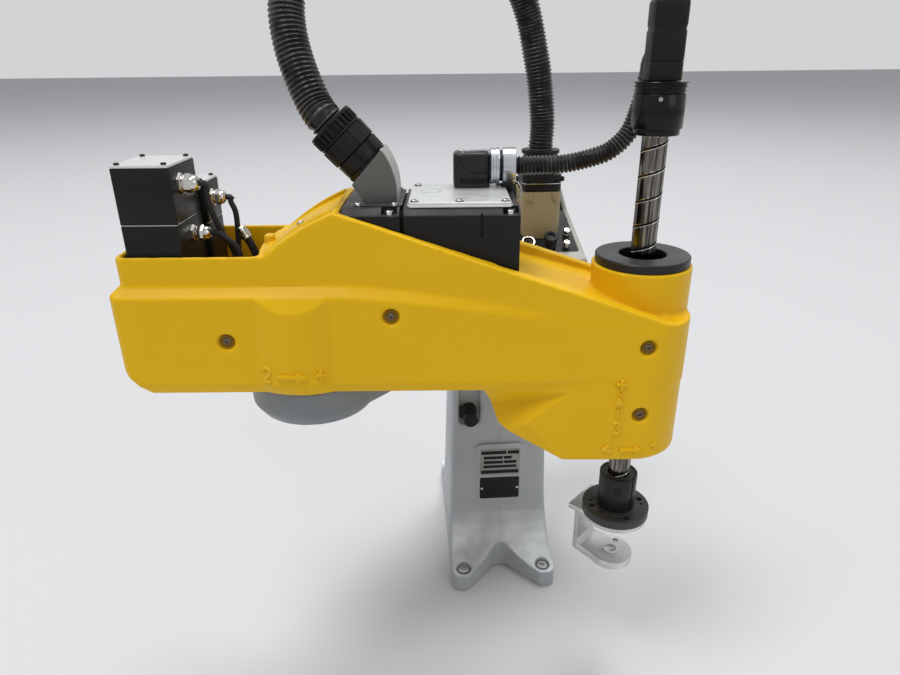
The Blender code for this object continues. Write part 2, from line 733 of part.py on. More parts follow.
def ledge_z(x):
    """Height of the ledge between lower and upper wall, which dips as it fades out."""
    start = 0.05
    share = min(1.0, max(0.0, (x - start) / (LEDGE_FADE_X - start)))
    return LEDGE_REAR_Z + (LEDGE_FADE_Z - LEDGE_REAR_Z) * share ** 1.4


def upper_half_width(x):
    share = min(1.0, max(0.0, (x - 0.10) / (LEDGE_FADE_X - 0.10)))
    return UPPER_HALF_WIDTH + (SHELL_HALF_WIDTH - 0.0012 - UPPER_HALF_WIDTH) * share


def shell_section(x):
    """Half of the forearm's cross-section at x, from the bottom to the top, then mirrored."""
    top = ridge_z(x)
    ledge = min(ledge_z(x), top - LEDGE_RISE - 0.004)
    half = [
        (SHELL_HALF_WIDTH - SHELL_BEVEL, SHELL_BOTTOM),
        (SHELL_HALF_WIDTH, SHELL_BEVEL_TOP),
        (SHELL_HALF_WIDTH, ledge),
        (upper_half_width(x), ledge + LEDGE_RISE),
        (upper_half_width(x) - 0.001, top),
    ]
    return [(x, -y, z) for y, z in half] + [(x, y, z) for y, z in half[::-1]]


def shell_plan(inset=0.0):
    """Plan outline of the forearm: small rear corners and a broadly rounded nose."""
    half = SHELL_HALF_WIDTH + 0.001 - inset
    rear, nose = SHELL_REAR + inset, SHELL_NOSE - inset
    small, large = REAR_CORNER, NOSE_CORNER
    outline = arc((nose - large, -half + large), large, -90, 0, 8)
    outline += arc((nose - large, half - large), large, 0, 90, 8)
    outline += arc((rear + small, half - small), small, 90, 180, 4)
    return outline + arc((rear + small, -half + small), small, 180, 270, 4)


def forearm_cover():
    """The yellow moulded forearm, from crossed profiles, bulge and nose, with its tub, well and bores."""
    stations = [SHELL_REAR - 0.01, WEDGE_FOOT_X, RIDGE_TOP_X, 0.10, 0.15, 0.20, 0.25]
    stations += [LEDGE_FADE_X, RIDGE_END_X, 0.47]
    rings = [shell_section(x) for x in stations]
    cover = loft("forearm_cover", rings, FOREARM, "yellow_paint")
    common(cover, upright("shell_plan", shell_plan(), DEEP_BOTTOM - PAST, RIDGE_TOP_Z + PAST, FOREARM))
    cut(cover, rear_bevel(), rear_trim(), *rear_corners())
    fuse(cover, elbow_bulge(), deep_nose())
    cut(cover, tub_cavity(), centre_cavity(), ridge_channel())
    fuse(cover, disc("quill_housing", HOUSING_RADIUS, RIDGE_END_Z - HOUSING_SINK, HOUSING_TOP, QUILL))
    low, high = DEEP_BOTTOM - PAST, HOUSING_TOP + PAST
    cut(cover, disc("quill_bore", QUILL_BORE_RADIUS, low, high, QUILL, None, (0, 0), 40))
    cut(cover, *screw_recesses())
    return cover


def rear_bevel():
    """Takes the lower rear edge off at a slant."""
    past, under, across = SHELL_REAR - PAST, SHELL_BOTTOM - PAST, SHELL_HALF_WIDTH + PAST
    outline = [(past, under), (REAR_BEVEL_FOOT, under), (REAR_BEVEL_FOOT, SHELL_BOTTOM)]
    outline += [(SHELL_REAR, REAR_BEVEL_TOP), (past, REAR_BEVEL_TOP)]
    return crosswise("rear_bevel", outline, -across, across, FOREARM)


def rear_trim():
    """Sets the upper tier's rear face in, above a sloped ledge."""
    past, over, across = SHELL_REAR - PAST, TUB_RIM + PAST, SHELL_HALF_WIDTH + PAST
    outline = [(past, LEDGE_REAR_Z), (SHELL_REAR, LEDGE_REAR_Z), (UPPER_REAR, LEDGE_REAR_Z + LEDGE_RISE)]
    outline += [(UPPER_REAR, over), (past, over)]
    return crosswise("rear_trim", outline, -across, across, FOREARM)


def rear_corners():
    """Round off the two upright rear corners of the upper tier."""
    made = []
    x, y = UPPER_REAR + UPPER_CORNER, UPPER_HALF_WIDTH - UPPER_CORNER
    behind, beside = UPPER_REAR - CORNER_SPARE, UPPER_HALF_WIDTH + CORNER_SPARE
    for side in (-1, 1):
        curve = [(px, side * py) for px, py in arc((x, y), UPPER_CORNER, 90, 180, 4)]
        outline = curve + [(behind, side * y), (behind, side * beside), (x, side * beside)]
        made.append(upright("rear_corner", outline, LEDGE_REAR_Z + LEDGE_RISE, TUB_RIM + PAST, FOREARM))
    return made


def elbow_bulge():
    """Round swelling of both side walls about the elbow axis."""
    profile = [
        (BULGE_RADIUS - SHELL_BEVEL, SHELL_BOTTOM + 0.0002),
        (BULGE_RADIUS, SHELL_BEVEL_TOP),
        (BULGE_RADIUS, LEDGE_REAR_Z),
        (BULGE_RADIUS - 0.013, LEDGE_REAR_Z + LEDGE_RISE),
    ]
    return turned("elbow_bulge", profile, FOREARM, None, 64)


def deep_nose():
    """The deep front part round the quill, with the faceted belly that leads into it."""
    half = SHELL_HALF_WIDTH
    points = []
    for x, y in shell_plan(0.0008):
        if x > DEEP_START_X:
            points += [(x, y, DEEP_BOTTOM + 0.006), (x, y, 0.520)]
            points.append((DEEP_START_X + (x - DEEP_START_X) * 0.96, y * 0.95, DEEP_BOTTOM))
    for side in (-1, 1):
        points += [
            (DEEP_START_X, side * (half - 0.001), 0.520),
            (DEEP_START_X, side * (half - 0.004), DEEP_BOTTOM),
            (0.262, side * (half - 0.004), 0.456),
            (0.229, side * (half - 0.016), 0.446),
            (0.226, side * (half - 0.012), 0.473),
            (BELLY_START_X, side * (half - 0.016), SHELL_BOTTOM + 0.008),
        ]
    return hull("deep_nose", points, FOREARM)


def tub_cavity():
    half = UPPER_HALF_WIDTH - SHELL_WALL
    outline = rounded(UPPER_REAR + SHELL_WALL, WEDGE_FOOT_X - 0.006, -half, half, 0.010, 3)
    return upright("tub_cavity", outline, TUB_FLOOR, RIDGE_TOP_Z + PAST, FOREARM)


def centre_cavity():
    half = COVER_HALF_WIDTH + SEAT
    outline = rounded(COVER_START_X - SEAT, CENTRE_END_X + SEAT, -half, half, 0.006, 2)
    return upright("centre_cavity", outline, TUB_FLOOR, RIDGE_TOP_Z + PAST, FOREARM)


def ridge_channel():
    """Lowered slope between the two ridges, ahead of the centre cover."""
    start, end, over = CENTRE_END_X - PAST, RIDGE_END_X - CHANNEL_END, RIDGE_TOP_Z + PAST
    outline = [(start, ridge_z(start) - CHANNEL_DEPTH[0]), (end, ridge_z(end) - CHANNEL_DEPTH[1])]
    outline += [(end, over), (start, over)]
    return crosswise("ridge_channel", outline, -CHANNEL_HALF_WIDTH, CHANNEL_HALF_WIDTH, FOREARM)


def screw_recesses():
    """Round recesses for the shell's screws, on both walls."""
    made = []
    for x, z in SCREW_HOLES:
        for side in (-1, 1):
            wall = side * (SHELL_HALF_WIDTH - SCREW_HOLE_DEPTH)
            frame = aim(FOREARM, (x, wall, z), (0, side, 0))
            made.append(disc("screw_recess", SCREW_HOLE_RADIUS, 0, 0.05, frame, None, (0, 0), 20))
    return made


def elbow_turntable():
    low, high = ARM_TOP + 2 * SEAT, SHELL_BOTTOM - SEAT
    return disc("elbow_turntable", TURNTABLE_RADIUS, low, high, FOREARM, "grey_paint")


def motor(name, span_x, span_y, top):
    """Square motor body with a lid of its own."""
    low = TUB_FLOOR + SEAT
    outline = rounded(*span_x, *span_y, MOTOR_CORNER, 2)
    upright(name, outline, low, top - MOTOR_LID - SEAT, FOREARM, "black_plastic")
    left, right = span_x[0] + LID_INSET, span_x[1] - LID_INSET
    lid = rounded(left, right, span_y[0] + LID_INSET, span_y[1] - LID_INSET, MOTOR_CORNER, 2)
    upright(name + "_lid", lid, top - MOTOR_LID, top, FOREARM, "grey_paint")


def gland(name, face, spot):
    """Cable gland on a motor's right face, at (y, z)."""
    step = 0.001
    profile = [(GLAND_RADIUS, SEAT), (GLAND_RADIUS, GLAND_NUT), (GLAND_NECK, GLAND_NUT + step)]
    profile += [(GLAND_NECK, GLAND_LENGTH - 2 * step), (GLAND_NECK - 2 * step, GLAND_LENGTH)]
    return turned(name, profile, aim(FOREARM, (face, *spot), (1, 0, 0)), "nickel", 16)


def motor_cable(name, face, spot, points):
    """A cable from a gland down to the tub's floor."""
    start = Vector((face + GLAND_LENGTH + SEAT, *spot))
    foot = Vector((points[-1][0], points[-1][1], TUB_FLOOR + SEAT))
    route = [start] + [Vector(p) for p in points] + [foot]
    world = [FOREARM @ p for p in straight_ends(route, CABLE_SPACING, Vector((1, 0, 0)), Vector((0, 0, -1)))]
    return tube(name, world, CABLE_RADIUS, FOREARM, "black_plastic")


def tub_lead():
    """A loose-ended lead that stands in the tub, with a plated plug on top."""
    top = Vector((*PLUG_TIP, TUB_FLOOR + PLUG_RISE))
    foot = Vector((*PLUG_FOOT, TUB_FLOOR + SEAT))
    lean = Vector(PLUG_LEAN)
    knee = Vector((*PLUG_FOOT, TUB_FLOOR + PLUG_KNEE))
    route = straight_ends([foot, knee, top], CABLE_SPACING, Vector((0, 0, 1)), lean)
    tube("tub_lead", [FOREARM @ p for p in route], LEAD_RADIUS, FOREARM, "black_plastic")
    profile = [(PLUG_RADIUS, SEAT), (PLUG_RADIUS, PLUG_LENGTH - PLUG_EDGE), (PLUG_RADIUS - PLUG_EDGE, PLUG_LENGTH)]
    turned("tub_plug", profile, aim(FOREARM, top, lean), "nickel", 16)


def motors():
    """The elbow's and the quill's motors with their lids."""
    motor("elbow_motor", ELBOW_MOTOR_X, ELBOW_MOTOR_Y, ELBOW_MOTOR_TOP)
    motor("quill_motor", QUILL_MOTOR_X, QUILL_MOTOR_Y, QUILL_MOTOR_TOP)
    near, far = ELBOW_MOTOR_X[1], QUILL_MOTOR_X[1]
    gland("gland_elbow_motor", near, POWER_GLAND)
    gland("gland_elbow_signal", near, SIGNAL_GLAND)
    gland("gland_quill_motor", far, QUILL_GLAND)
    motor_cable("cable_elbow_motor", near, POWER_GLAND, POWER_CABLE)
    motor_cable("cable_elbow_signal", near, SIGNAL_GLAND, SIGNAL_CABLE)
    motor_cable("cable_quill_motor", far, QUILL_GLAND, QUILL_CABLE)
    tub_lead()


def centre_cover():
    """Deep cover with a chamfer along both long upper edges."""
    half, low = COVER_HALF_WIDTH, TUB_FLOOR + SEAT
    section = [(-half, low), (half, low), (half, COVER_TOP - COVER_CHAMFER), (half - COVER_CHAMFER, COVER_TOP)]
    section += [(COVER_CHAMFER - half, COVER_TOP), (-half, COVER_TOP - COVER_CHAMFER)]
    cover = lengthwise("centre_cover", section, COVER_START_X, CENTRE_END_X, FOREARM, "black_plastic")
    plan = rounded(COVER_START_X, CENTRE_END_X, -half, half, COVER_CORNER, 2)
    return common(cover, upright("cover_plan", plan, low - PAST, COVER_TOP + PAST, FOREARM))


def top_plate():
    low = COVER_TOP + SEAT
    outline = rounded(PLATE_START_X, PLATE_END_X, -PLATE_HALF_WIDTH, PLATE_HALF_WIDTH, 0.006, 3)
    return upright("top_plate", outline, low, low + PLATE_THICKNESS, FOREARM, "aluminium")


def bracket_base():
    """Thin foot plate under the conduit's bracket."""
    low, half = COVER_TOP + SEAT, FOOT_PLATE_HALF_WIDTH
    outline = rounded(COVER_START_X + FOOT_PLATE_MARGIN, PLATE_START_X - FOOT_PLATE_MARGIN, -half, half, FOOT_CORNER, 2)
    return upright("bracket_base", outline, low, low + FOOT_PLATE, FOREARM, "black_plastic")


def bracket_outline():
    deck = COVER_TOP + 2 * SEAT + FOOT_PLATE
    return [(x, deck + height) for x, height in BRACKET_OUTLINE]


def conduit_bracket():
    """Closed sheet-metal bend with a slanted face for the conduit's fitting."""
    return crosswise("conduit_bracket", bracket_outline(), BRACKET_NEAR, BRACKET_FAR, FOREARM, "grey_paint")


def fitting_axis():
    """Centre of the bracket's slanted face and its outward normal."""
    (x0, z0), (x1, z1) = bracket_outline()[:2]
    length = math.hypot(x1 - x0, z1 - z0)
    centre = ((x0 + x1) / 2, (BRACKET_NEAR + BRACKET_FAR) / 2, (z0 + z1) / 2)
    return Vector(centre), Vector((-(z1 - z0) / length, 0, (x1 - x0) / length))


def conduit_fitting():
    centre, normal = fitting_axis()
    profile = [(radius, z + SEAT) for radius, z in FITTING_PROFILE]
    profile.append((FITTING_PROFILE[-1][0], FITTING_LENGTH))
    return turned("conduit_fitting", profile, aim(FOREARM, centre, normal), "black_plastic", 32)


def hose_hood():
    """Upright half-round hood whose mouth takes the small hose."""
    low = COVER_TOP + 2 * SEAT + PLATE_THICKNESS
    near, far = HOOD_Y - HOOD_HALF_WIDTH, HOOD_Y + HOOD_HALF_WIDTH
    middle = (HOOD_Y, HOOD_TOP - HOOD_HALF_WIDTH)
    outline = [(near, low), (far, low)] + arc(middle, HOOD_HALF_WIDTH, 0, 180, 12)
    return lengthwise("hose_hood", outline, *HOOD_X, FOREARM, "black_plastic")


def hose_clamp():
    """Two clamping bands in one, with a groove between them."""
    frame = aim(FOREARM, (HOOD_X[1], HOOD_Y, HOSE_HEIGHT), (1, 0, 0))
    r, end, neck = HOSE_CLAMP_RADIUS, HOSE_CLAMP_LENGTH, HOSE_CLAMP_RADIUS - HOSE_CLAMP_GROOVE
    profile = [(r, SEAT), (r, end * 0.36), (neck, end * 0.38), (neck, end * 0.46), (r, end * 0.48), (r, end)]
    return turned("hose_clamp", profile, frame, "nickel", 28)


def quill_ring():
    low = HOUSING_TOP + SEAT
    ring = disc("quill_ring", RING_RADIUS, low, low + RING_THICKNESS, QUILL, "black_plastic")
    return cut(ring, disc("ring_hole", RING_HOLE_RADIUS, 0.5, 0.8, QUILL, None, (0, 0), 40))


def hub_top():
    return DEEP_BOTTOM - STROKE_UP - RUN


def collar_bottom():
    return HOUSING_TOP + SEAT + RING_THICKNESS + STROKE_DOWN + RUN


def quill_shaft():
    low, high = FLANGE_TOP + SEAT, collar_bottom() - SEAT
    return disc("quill_shaft", SHAFT_RADIUS, low, high, QUILL, "steel", (0, 0), 32)


def clamp_hub():
    """Split clamp collar round the shaft's foot, open at its top."""
    low, high = FLANGE_TOP + SEAT, hub_top()
    profile = [(HUB_RADIUS, low), (HUB_RADIUS, high)]
    profile += [(HUB_CUP_RADIUS, high), (HUB_CUP_RADIUS, high - HUB_CUP_DEPTH)]
    hub = turned("clamp_hub", profile, QUILL, "black_plastic", 40)
    bore = disc("hub_bore", SHAFT_RADIUS + SEAT, low - 0.01, high + 0.01, QUILL, None, (0, 0), 32)
    slot = crosswise("hub_slot", [(0, low - 0.01), (0.05, low - 0.01), (0.05, high + 0.01), (0, high + 0.01)],
                     -HUB_SLOT / 2, HUB_SLOT / 2, QUILL @ Matrix.Rotation(HUB_SLOT_HEADING, 4, "Z"))
    return cut(hub, bore, slot)


def tool_flange():
    """Round flange under the quill with four bolt holes, each with a dowel hole beside it."""
    low = FLANGE_TOP - FLANGE_THICKNESS
    side = [(FLANGE_RADIUS, low), (FLANGE_RADIUS, FLANGE_TOP)]
    flange = turned("tool_flange", side, QUILL, "black_plastic", 48)
    for number in range(4):
        turn = FLANGE_HOLE_START + number * math.pi / 2
        for angle, radius in ((turn, FLANGE_HOLE_RADIUS), (turn - DOWEL_LAG, DOWEL_RADIUS)):
            centre = (FLANGE_HOLE_CIRCLE * math.cos(angle), FLANGE_HOLE_CIRCLE * math.sin(angle))
            cut(flange, disc("flange_hole", radius, low - 0.01, FLANGE_TOP + 0.01, QUILL, None, centre, 14))
    return flange


def tool_bracket():
    """Bent bracket: round upper plate with a tab, web, and a lower plate with a bored boss under the quill."""
    frame = QUILL @ Matrix.Rotation(BRACKET_HEADING, 4, "Z")
    high = FLANGE_TOP - FLANGE_THICKNESS - SEAT
    bottom, floor = LOWER_PLATE
    inner, outer = TOOL_WEB
    overlap = 0.0001
    bracket = disc("tool_bracket", PLATE_ROUND, high - TOOL_PLATE, high, frame, "aluminium")
    tab = [(0, -TAB_HALF_WIDTH), (TAB_END, -TAB_HALF_WIDTH), (TAB_END, TAB_HALF_WIDTH), (0, TAB_HALF_WIDTH)]
    side = [(inner, high - TOOL_PLATE + overlap), (inner, floor + TOOL_FILLET), (inner - TOOL_FILLET, floor - overlap)]
    side += [(inner - TOOL_FILLET, bottom + overlap), (outer - TOOL_PLATE / 2, bottom), (outer, bottom + TOOL_PLATE / 2)]
    side += [(outer, high - TOOL_PLATE + overlap)]
    web = crosswise("tool_web", side, -TOOL_WEB_HALF_WIDTH, TOOL_WEB_HALF_WIDTH, frame)
    plate = arc((0, 0), LOWER_PLATE_ROUND, 60, 300, 20)
    plate += [(inner, -TOOL_WEB_HALF_WIDTH - overlap), (inner, TOOL_WEB_HALF_WIDTH + overlap)]
    fuse(bracket, upright("tool_tab", tab, high - TOOL_PLATE - overlap, high - overlap, frame), web)
    fuse(bracket, upright("lower_plate", plate, bottom - overlap, floor, frame))
    fuse(bracket, disc("plate_boss", TOOL_BOSS_RADIUS, floor - 0.004, floor + TOOL_BOSS_RAISE, frame, None, (0, 0), 28))
    cut(bracket, disc("boss_bore", TOOL_BORE_RADIUS, bottom - 0.01, floor + 0.01, frame, None, (0, 0), 24))
    side_hole = disc("side_hole", TOOL_SIDE_HOLE_RADIUS, bottom - 0.01, floor + 0.01, frame, None, TOOL_SIDE_HOLE, 16)
    return cut(bracket, side_hole)


def head_collar():
    """Collar at the top of the screw."""
    low = collar_bottom()
    r, high = HEAD_COLLAR_RADIUS, low + HEAD_COLLAR_HEIGHT
    profile = [(r - 0.002, low), (r, low + 0.002), (r, low + 0.020), (r - 0.001, low + 0.021)]
    profile += [(r - 0.001, high - 0.016), (r + 0.002, high - 0.015), (r + 0.002, high)]
    return turned("head_collar", profile, QUILL, "black_plastic", 40)


def head_elbow():
    """Upright swivel with a domed top; its outlet points down and away from the front."""
    low = collar_bottom() + HEAD_COLLAR_HEIGHT + SEAT
    r, high = HEAD_ELBOW_RADIUS, low + HEAD_ELBOW_HEIGHT
    profile = [(r + 0.004, low), (r + 0.004, low + 0.006), (r, low + 0.008), (r, high - r)]
    profile += [(r * math.cos(math.radians(a)), high - r + r * math.sin(math.radians(a))) for a in (20, 40, 60, 78)]
    elbow = turned("head_elbow", profile, QUILL, "black_plastic", 32)
    side = [(HEAD_OUTLET_RADIUS, 0), (HEAD_OUTLET_RADIUS, HEAD_OUTLET_LENGTH)]
    outlet = turned("head_outlet", side, outlet_frame(0), None, 24)
    return fuse(elbow, outlet)


def outlet_frame(out):
    """Frame of the hose outlet on the quill's head, moved out along its axis."""
    z = collar_bottom() + HEAD_COLLAR_HEIGHT + HEAD_ELBOW_HEIGHT - HEAD_OUTLET_DROP
    along = Vector(HEAD_OUTLET_DIRECTION).normalized()
    return aim(QUILL, Vector((0, 0, z)) + along * out, along)


def straight_ends(points, spacing, out, into):
    """A smooth route that leaves its first point straight along one direction and meets its last along another."""
    first = points[0] + out.normalized() * END_LEAD
    last = points[-1] - into.normalized() * END_LEAD
    guided = [points[0], first] + points[1:-1] + [last, points[-1]]
    return [points[0]] + smooth_route(guided, spacing) + [points[-1]]


def smooth_route(points, spacing):
    """Points about one spacing apart on a Catmull-Rom curve, whose first and last points only guide it."""
    route = []
    for a, b, c, d in zip(points, points[1:], points[2:], points[3:]):
        steps = max(2, round((c - b).length / spacing))
        for i in range(steps):
            t = i / steps
            square, cube = 2 * a - 5 * b + 4 * c - d, 3 * b - a - 3 * c + d
            route.append(0.5 * (2 * b + (c - a) * t + square * t**2 + cube * t**3))
    return route + [points[-2]]


def tube(name, route, radius, frame, paint):
    """A capped round tube along a route, as a curve with a bevel."""
    curve = bpy.data.curves.new(name, "CURVE")
    curve.dimensions = "3D"
    curve.bevel_depth = radius
    curve.bevel_resolution = 3
    curve.use_fill_caps = True
    spline = curve.splines.new("POLY")
    spline.points.add(len(route) - 1)
    inverse = frame.inverted()
    for slot, point in zip(spline.points, route):
        slot.co = (*(inverse @ point), 1)
    curve.materials.append(material(name, paint))
    thing = bpy.data.objects.new(name, curve)
    thing.matrix_world = frame
    PARTS.objects.link(thing)
    return thing


def conduit_route():
    """The large conduit in world metres: up from the clamp, over the top and down to the bracket's fitting."""
    centre, normal = fitting_axis()
    end = FOREARM @ (centre + normal * (FITTING_LENGTH + SEAT))
    rise = [Vector(conduit_foot())] + [Vector(p) for p in RISE_POINTS]
    fall = [Vector(p) for p in FALL_POINTS] + [end]
    return rise, Vector(CROWN), fall


def conduits():
    """The large conduit in two halves that meet at its crown."""
    rise, crown, fall = conduit_route()
    inwards = FOREARM.to_3x3() @ -fitting_axis()[1]
    route = straight_ends(rise + [crown] + fall, CONDUIT_SPACING, Vector((0, 0, 1)), inwards)
    middle = min(range(len(route)), key=lambda i: (route[i] - crown).length)
    along = (route[middle + 1] - route[middle - 1]).normalized()
    first = route[:middle] + [crown - along * END_LEAD, crown]
    second = [crown + along * SEAT, crown + along * END_LEAD] + route[middle + 1 :]
    tube("conduit_rise", first, CONDUIT_RADIUS, BASE, "black_plastic")
    tube("conduit_fall", second, CONDUIT_RADIUS, FOREARM, "black_plastic")


def quill_hose():
    """Small hose from the hose clamp to the head's outlet."""
    forwards = FOREARM.to_3x3() @ Vector((1, 0, 0))
    start = FOREARM @ Vector((HOOD_X[1] + HOSE_CLAMP_LENGTH + SEAT, HOOD_Y, HOSE_HEIGHT))
    mouth = outlet_frame(HEAD_OUTLET_LENGTH + SEAT)
    inwards = mouth.to_3x3() @ Vector((0, 0, -1))
    points = [start] + [FOREARM @ Vector(p) for p in HOSE_POINTS] + [mouth.translation]
    route = straight_ends(points, HOSE_SPACING, forwards, inwards)
    return tube("quill_hose", route, HOSE_RADIUS, FOREARM, "black_plastic")


def build():
    """Every piece, from the floor up."""
    base_casting()
    rear_bracket()
    console_housing()
    connector_panel()
    panel_fittings()
    junction_box()
    conduit_clamp()
    base_side_connector()
    upper_arm()
    shoulder_cap()
    forearm_cover()
    elbow_turntable()
    motors()
    centre_cover()
    top_plate()
    bracket_base()
    conduit_bracket()
    conduit_fitting()
    hose_hood()
    hose_clamp()
    quill_ring()
    quill_shaft()
    clamp_hub()
    tool_flange()
    tool_bracket()
    head_collar()
    head_elbow()
    conduits()
    quill_hose()


clear_scene()
PARTS = collection("robot_arm")
CUTTERS = collection("cutters", hidden=True)
build()
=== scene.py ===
"""Looks of a four-axis selective-compliance robot arm: grey cast base and inner arm, yellow moulded
forearm with its motors, corrugated conduits, and a splined quill with a tool bracket.

Metres, +Z up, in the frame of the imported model.
"""

import json
import math

import bmesh
import bpy
import numpy as np
from mathutils import Matrix, Vector
from mathutils.bvhtree import BVHTree

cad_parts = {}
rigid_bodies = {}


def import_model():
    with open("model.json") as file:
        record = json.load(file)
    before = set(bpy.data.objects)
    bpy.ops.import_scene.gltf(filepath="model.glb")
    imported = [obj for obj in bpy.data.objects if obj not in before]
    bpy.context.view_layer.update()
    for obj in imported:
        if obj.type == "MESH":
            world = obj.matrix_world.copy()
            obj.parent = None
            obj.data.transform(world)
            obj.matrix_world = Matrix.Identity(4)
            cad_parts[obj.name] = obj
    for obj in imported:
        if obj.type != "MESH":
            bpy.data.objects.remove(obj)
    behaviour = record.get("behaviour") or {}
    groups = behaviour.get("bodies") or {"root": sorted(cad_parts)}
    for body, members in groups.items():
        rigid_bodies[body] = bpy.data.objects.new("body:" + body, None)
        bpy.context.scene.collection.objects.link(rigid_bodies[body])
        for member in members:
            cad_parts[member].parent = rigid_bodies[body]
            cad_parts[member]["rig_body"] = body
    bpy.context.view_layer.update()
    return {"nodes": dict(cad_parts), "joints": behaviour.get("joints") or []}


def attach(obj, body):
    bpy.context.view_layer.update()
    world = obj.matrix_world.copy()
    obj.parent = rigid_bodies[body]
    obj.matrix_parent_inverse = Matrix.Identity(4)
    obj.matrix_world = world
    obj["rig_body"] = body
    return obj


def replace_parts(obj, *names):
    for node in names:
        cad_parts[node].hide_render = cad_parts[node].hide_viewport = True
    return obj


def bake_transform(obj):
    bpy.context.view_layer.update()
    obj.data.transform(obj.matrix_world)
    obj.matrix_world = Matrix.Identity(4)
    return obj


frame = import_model()

bl_info = {
    "name": "Robot arm looks",
    "version": (1, 0, 0),
    "blender": (4, 5, 0),
    "location": "View3D > Sidebar > Robot Arm",
    "description": "Castings, moulded forearm, conduits, quill and fasteners of a robot arm",
    "category": "Object",
}

TURN = 2 * math.pi
JOINTS = {joint["name"]: joint for joint in frame["joints"]}
FOREARM_HEADING = math.radians(-3.75)
# Gap between two pieces that seat on each other
SEAT = 0.0003


# Places and frames


def frame_at(point, heading=0.0):
    """A 4 x 4 frame at a point, turned about +Z by a heading."""
    return np.array(Matrix.Translation(point) @ Matrix.Rotation(heading, 4, "Z"))


BASE = np.eye(4)
FOREARM = frame_at((*JOINTS["elbow_turn"]["pos_m"][:2], 0), FOREARM_HEADING)
QUILL = frame_at((*JOINTS["quill_turn"]["pos_m"][:2], 0), FOREARM_HEADING)
ACROSS = FOREARM[:3, :3] @ (0, 1, 0)


def moved(points, place):
    """Points carried by a 4 x 4 frame: each is turned by its first three columns and shifted by its
    last."""
    points = np.asarray(points, float)
    return points @ place[:3, :3].T + place[:3, 3]


def aimed(point, direction, place=BASE, up=(0, 0, 1)):
    """A frame whose +Z runs along a direction from a point, both given in another frame."""
    out = np.asarray(direction, float) / np.linalg.norm(direction)
    side = np.cross(up, out)
    if np.linalg.norm(side) < 1e-6:
        side = np.cross((0, 1, 0), out)
    side /= np.linalg.norm(side)
    made = np.eye(4)
    made[:3, :3] = np.stack([side, np.cross(out, side), out], 1)
    made[:3, 3] = point
    return place @ made


def vertices_of(mesh):
    """A mesh's vertices as rows of x, y and z."""
    points = np.empty(len(mesh.vertices) * 3)
    mesh.vertices.foreach_get("co", points)
    return points.reshape(-1, 3)


def spans(node, place=BASE):
    """The three (low, high) pairs of a CAD node, measured in a body's own frame."""
    points = moved(vertices_of(frame["nodes"][node].data), np.linalg.inv(place))
    return list(zip(points.min(0), points.max(0)))


# Surfaces, each a (points, faces) pair


def walls_between(low, high):
    """Four-sided faces between neighbouring rows of point numbers, each row wrapped round."""
    return np.stack([low, np.roll(low, -1, 1), np.roll(high, -1, 1), high], -1).reshape(-1, 4).tolist()


def sleeve(rows):
    """Closed skin through rows of points: walls between neighbouring rows, and one face over each end."""
    rows = np.asarray(rows, float)
    index = np.arange(rows.shape[0] * rows.shape[1]).reshape(rows.shape[:2])
    caps = [index[0][::-1].tolist(), index[-1].tolist()]
    return rows.reshape(-1, 3), walls_between(index[:-1], index[1:]) + caps


def hoop(rows):
    """Skin that closes on itself both ways: walls between neighbouring rows and from the last to the
    first."""
    rows = np.asarray(rows, float)
    index = np.arange(rows.shape[0] * rows.shape[1]).reshape(rows.shape[:2])
    return rows.reshape(-1, 3), walls_between(index, np.roll(index, -1, 0))


def joined(skins):
    """Several skins as one: each one's faces count on from the points before it."""
    points, faces, start = [], [], 0
    for skin_points, skin_faces in skins:
        points.append(skin_points)
        faces += [[start + corner for corner in face] for face in skin_faces]
        start += len(skin_points)
    return np.concatenate(points), faces


def placed(skin, place):
    """A skin carried by a frame."""
    return moved(skin[0], place), skin[1]


def reach_of(radius, angle, sides=0):
    """Distance to a circle's rim or, with sides, to a regular polygon's: radius over the cosine of the
    angle from the nearest flat."""
    if not sides:
        return np.full_like(angle, radius)
    part = TURN / sides
    return radius / np.cos((angle + part / 2) % part - part / 2)


def about_axis(reach, angle, level):
    """Points at a distance from the +Z axis, at an angle round it and at a level along it."""
    reach, angle, level = np.broadcast_arrays(reach, angle, level)
    return np.stack([reach * np.cos(angle), reach * np.sin(angle), level], -1)


def lathe(profile, steps=32, ring=False):
    """Rows of (radius, height) turned about +Z; a third number makes that row a polygon with so many
    sides."""
    angle = np.linspace(0, TURN, steps, endpoint=False)
    rows = []
    for radius, height, *sides in profile:
        rows.append(about_axis(reach_of(radius, angle, *sides), angle, height))
    return hoop(rows) if ring else sleeve(rows)


def turned(profile, steps, place, ring=False):
    """A lathe's skin carried by a frame."""
    return placed(lathe(profile, steps, ring), place)


def from_rim(radius, level, rows):
    """Profile rows given as offsets from a radius and a level."""
    return [(radius + out, level + up) for out, up in rows]


def plan(span_x, span_y, corner, steps=5):
    """Rectangle with round corners: a quarter circle about each inset corner point, anticlockwise."""
    (x0, x1), (y0, y1) = span_x, span_y
    quarter = np.linspace(0, math.pi / 2, steps)
    angle = np.concatenate([quarter + k * math.pi / 2 for k in range(4)])
    centre_x = np.repeat([x1 - corner, x0 + corner, x0 + corner, x1 - corner], steps)
    centre_y = np.repeat([y1 - corner, y1 - corner, y0 + corner, y0 + corner], steps)
    return np.stack([centre_x + corner * np.cos(angle), centre_y + corner * np.sin(angle)], -1)


